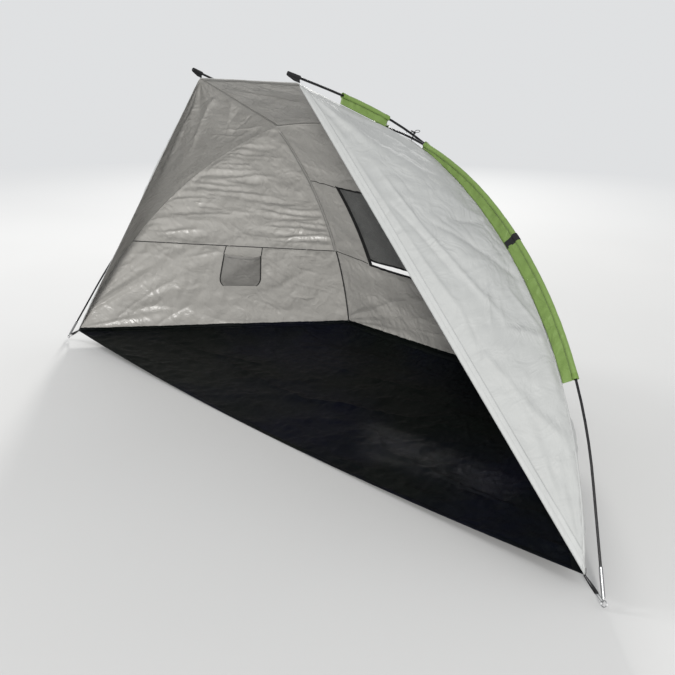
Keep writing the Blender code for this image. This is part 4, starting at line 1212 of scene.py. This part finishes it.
def build_sleeves():
    hoop = Path(hoop_curve)
    middle = hoop.length / 2
    for side, word in SIDES:
        eave = Path(eave_curve(side))
        ends = sorted(middle + side * distance for distance in HOOP_SLEEVE)
        build_sleeve(f"{word}_hoop_sleeve", hoop, *ends, partial(hoop_seam, side), 201 + side)
        eave_seam = partial(mix, junction(side), eave_corner(side))
        build_sleeve(f"{word}_eave_sleeve", eave, *EAVE_SLEEVE, eave_seam, 211 + side)
        build_sleeve(f"{word}_rear_sleeve", eave, *REAR_SLEEVE, partial(rear_seam, side), 221 + side)
    ends = (middle - CROWN_SLEEVE_HALF, middle + CROWN_SLEEVE_HALF)
    build_sleeve("crown_sleeve", hoop, *ends, crown_seam, 231)


# -------- corner straps
LINK_LENGTH = 0.026
STRAP_THICK = 0.0013
STRAP_LOOP = 0.0016 + STRAP_THICK / 2


def strap_line(length):
    """Side view of a strap: from the cloth to the bar of the ring, round it and back."""
    run = np.linspace(length + 0.004, 0.004, 16)
    out = [(d, STRAP_LOOP * (0.5 + 0.5 * min(1, (length - d) / 0.02 + 0.2))) for d in run]
    wrap = np.linspace(math.pi / 2, 3 * math.pi / 2, 11)
    around = [(STRAP_LOOP * math.cos(a), STRAP_LOOP * math.sin(a)) for a in wrap]
    return np.array(out + around + [(d, -h) for d, h in out[::-1]])


def build_strap(place, corner, pull):
    """Webbing from a lower corner round the bar of its link ring and back, bunched at the cloth."""
    low, high = (np.array(c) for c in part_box(f"link_ring_{place}"))
    ring = (low + high) / 2
    toward = unit(corner - ring)
    across = unit(np.cross(pull, toward))
    square = unit(np.cross(across, pull))
    square = unit(square - toward * (square @ toward))
    bar = ring + toward * LINK_LENGTH / 2
    length = np.linalg.norm(corner - bar)
    line = strap_line(length)
    width = 0.0024 + 0.0030 * rise(length - line[:, 0], length * 0.8)
    share = np.linspace(-1, 1, 9)
    lift = line[:, 1, None] + 0.0006 * share**2 * np.sign(line[:, 1])[:, None]
    points = (bar + toward * line[:, None, :1] + square * lift[..., None]
              + across * (width[:, None] * share)[..., None])
    piece = make_mesh(f"corner_strap_cloth_{place}", points.reshape(-1, 3), grid_faces(*points.shape[:2]),
                      own_uv(points).reshape(-1, 2), [STRAP])
    shell = piece.modifiers.new("thickness", "SOLIDIFY")
    shell.thickness = STRAP_THICK
    shell.offset = 0.0
    stand_in(piece, WEBBING, f"corner_strap_{place}")
    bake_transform(piece)
    cut = (0.011, float(lengths(points, 0)[-1, 4]))


def build_straps():
    pulls = {joint["child"]: np.array(joint["axis"], float) for joint in frame["joints"]}
    for end, corner in (("front", front_corner), ("rear", rear_corner)):
        for side, word in SIDES:
            place = f"{end}_{word}"
            build_strap(place, corner(side), pulls[f"corner_pin_{place}"])


# -------- hard parts
LOOKS = (
    ("pole_section", FIBREGLASS), ("shock_cord", ELASTIC), ("end_ferrule", STEEL), ("corner_pin", STEEL),
    ("link_ring", STEEL), ("guy_band", STRAP), ("tip_pocket", STRAP), ("junction_tie", STRAP),
)


def dress_solids():
    """Give every solid that stays in view its finish."""
    for name, node in NODES.items():
        for look in [look for part, look in LOOKS if part in name][:1]:
            for slot in node.material_slots:
                slot.material = look


# -------- studio
CAMERA = Vector((2.165, -2.2835, 1.325))
YAW, PITCH, ROLL = math.radians(-44.97), math.radians(18.99), math.radians(1.02)
LENS = 43.43


def build_camera():
    """Camera where the shelter is seen from: its front right."""
    forward = Vector((math.sin(YAW) * math.cos(PITCH), math.cos(YAW) * math.cos(PITCH), -math.sin(PITCH)))
    right = forward.cross(Vector((0, 0, 1))).normalized()
    up = right.cross(forward)
    level = right * math.cos(ROLL) + up * math.sin(ROLL)
    tilted = up * math.cos(ROLL) - right * math.sin(ROLL)
    data = bpy.data.cameras.new("camera")
    data.lens, data.sensor_width = LENS, 36.0
    camera = bpy.data.objects.new("camera", data)
    turn = Matrix((level, tilted, -forward)).transposed().to_4x4()
    camera.matrix_world = Matrix.Translation(CAMERA) @ turn
    bpy.context.scene.collection.objects.link(camera)
    bpy.context.scene.camera = camera


def soft_light(name, place, aim, size, power, colour):
    data = bpy.data.lights.new(name, "AREA")
    data.shape, data.size, data.energy, data.color = "DISK", size, power, colour
    light = bpy.data.objects.new(name, data)
    light.location = place
    light.rotation_mode = "QUATERNION"
    light.rotation_quaternion = (Vector(aim) - Vector(place)).to_track_quat("-Z", "Y")
    bpy.context.scene.collection.objects.link(light)


WORLD_COLOUR = (0.74, 0.75, 0.76)
FLOOR_HALF = 60.0
WARM, WHITE = (1.0, 0.985, 0.96), (1, 1, 1)


def build_studio():
    scene = bpy.context.scene
    scene.view_settings.view_transform = "Standard"
    world = bpy.data.worlds.new("studio")
    world.use_nodes = True
    shade = world.node_tree.nodes["Background"]
    shade.inputs[0].default_value = (*WORLD_COLOUR, 1)
    scene.world = world
    corners = np.array([(-1, -1, 0), (1, -1, 0), (1, 1, 0), (-1, 1, 0)]) * FLOOR_HALF
    look = studio_floor("studio_floor")
    make_mesh("studio_floor", corners, np.array([[0, 1, 2, 3]]), corners[:, :2], [look])
    soft_light("key", (7.2, -7.5, 3.0), (-0.4, 0, 0.40), 1.4, 1050, WARM)
    soft_light("left", (-6.0, -3.0, 4.0), (0, 0, 0.5), 1.6, 160, WHITE)
    soft_light("back", (-6.0, 6.5, 4.6), (0, 0, 0.5), 1.3, 560, WARM)


build_camera()
build_studio()
build_wings()
build_walls()
REAR = rear_panel()
build_rear(REAR)
build_binding(REAR)
build_screen()
build_roof()
build_floor()
build_pocket()
build_sleeves()
build_straps()
dress_solids()
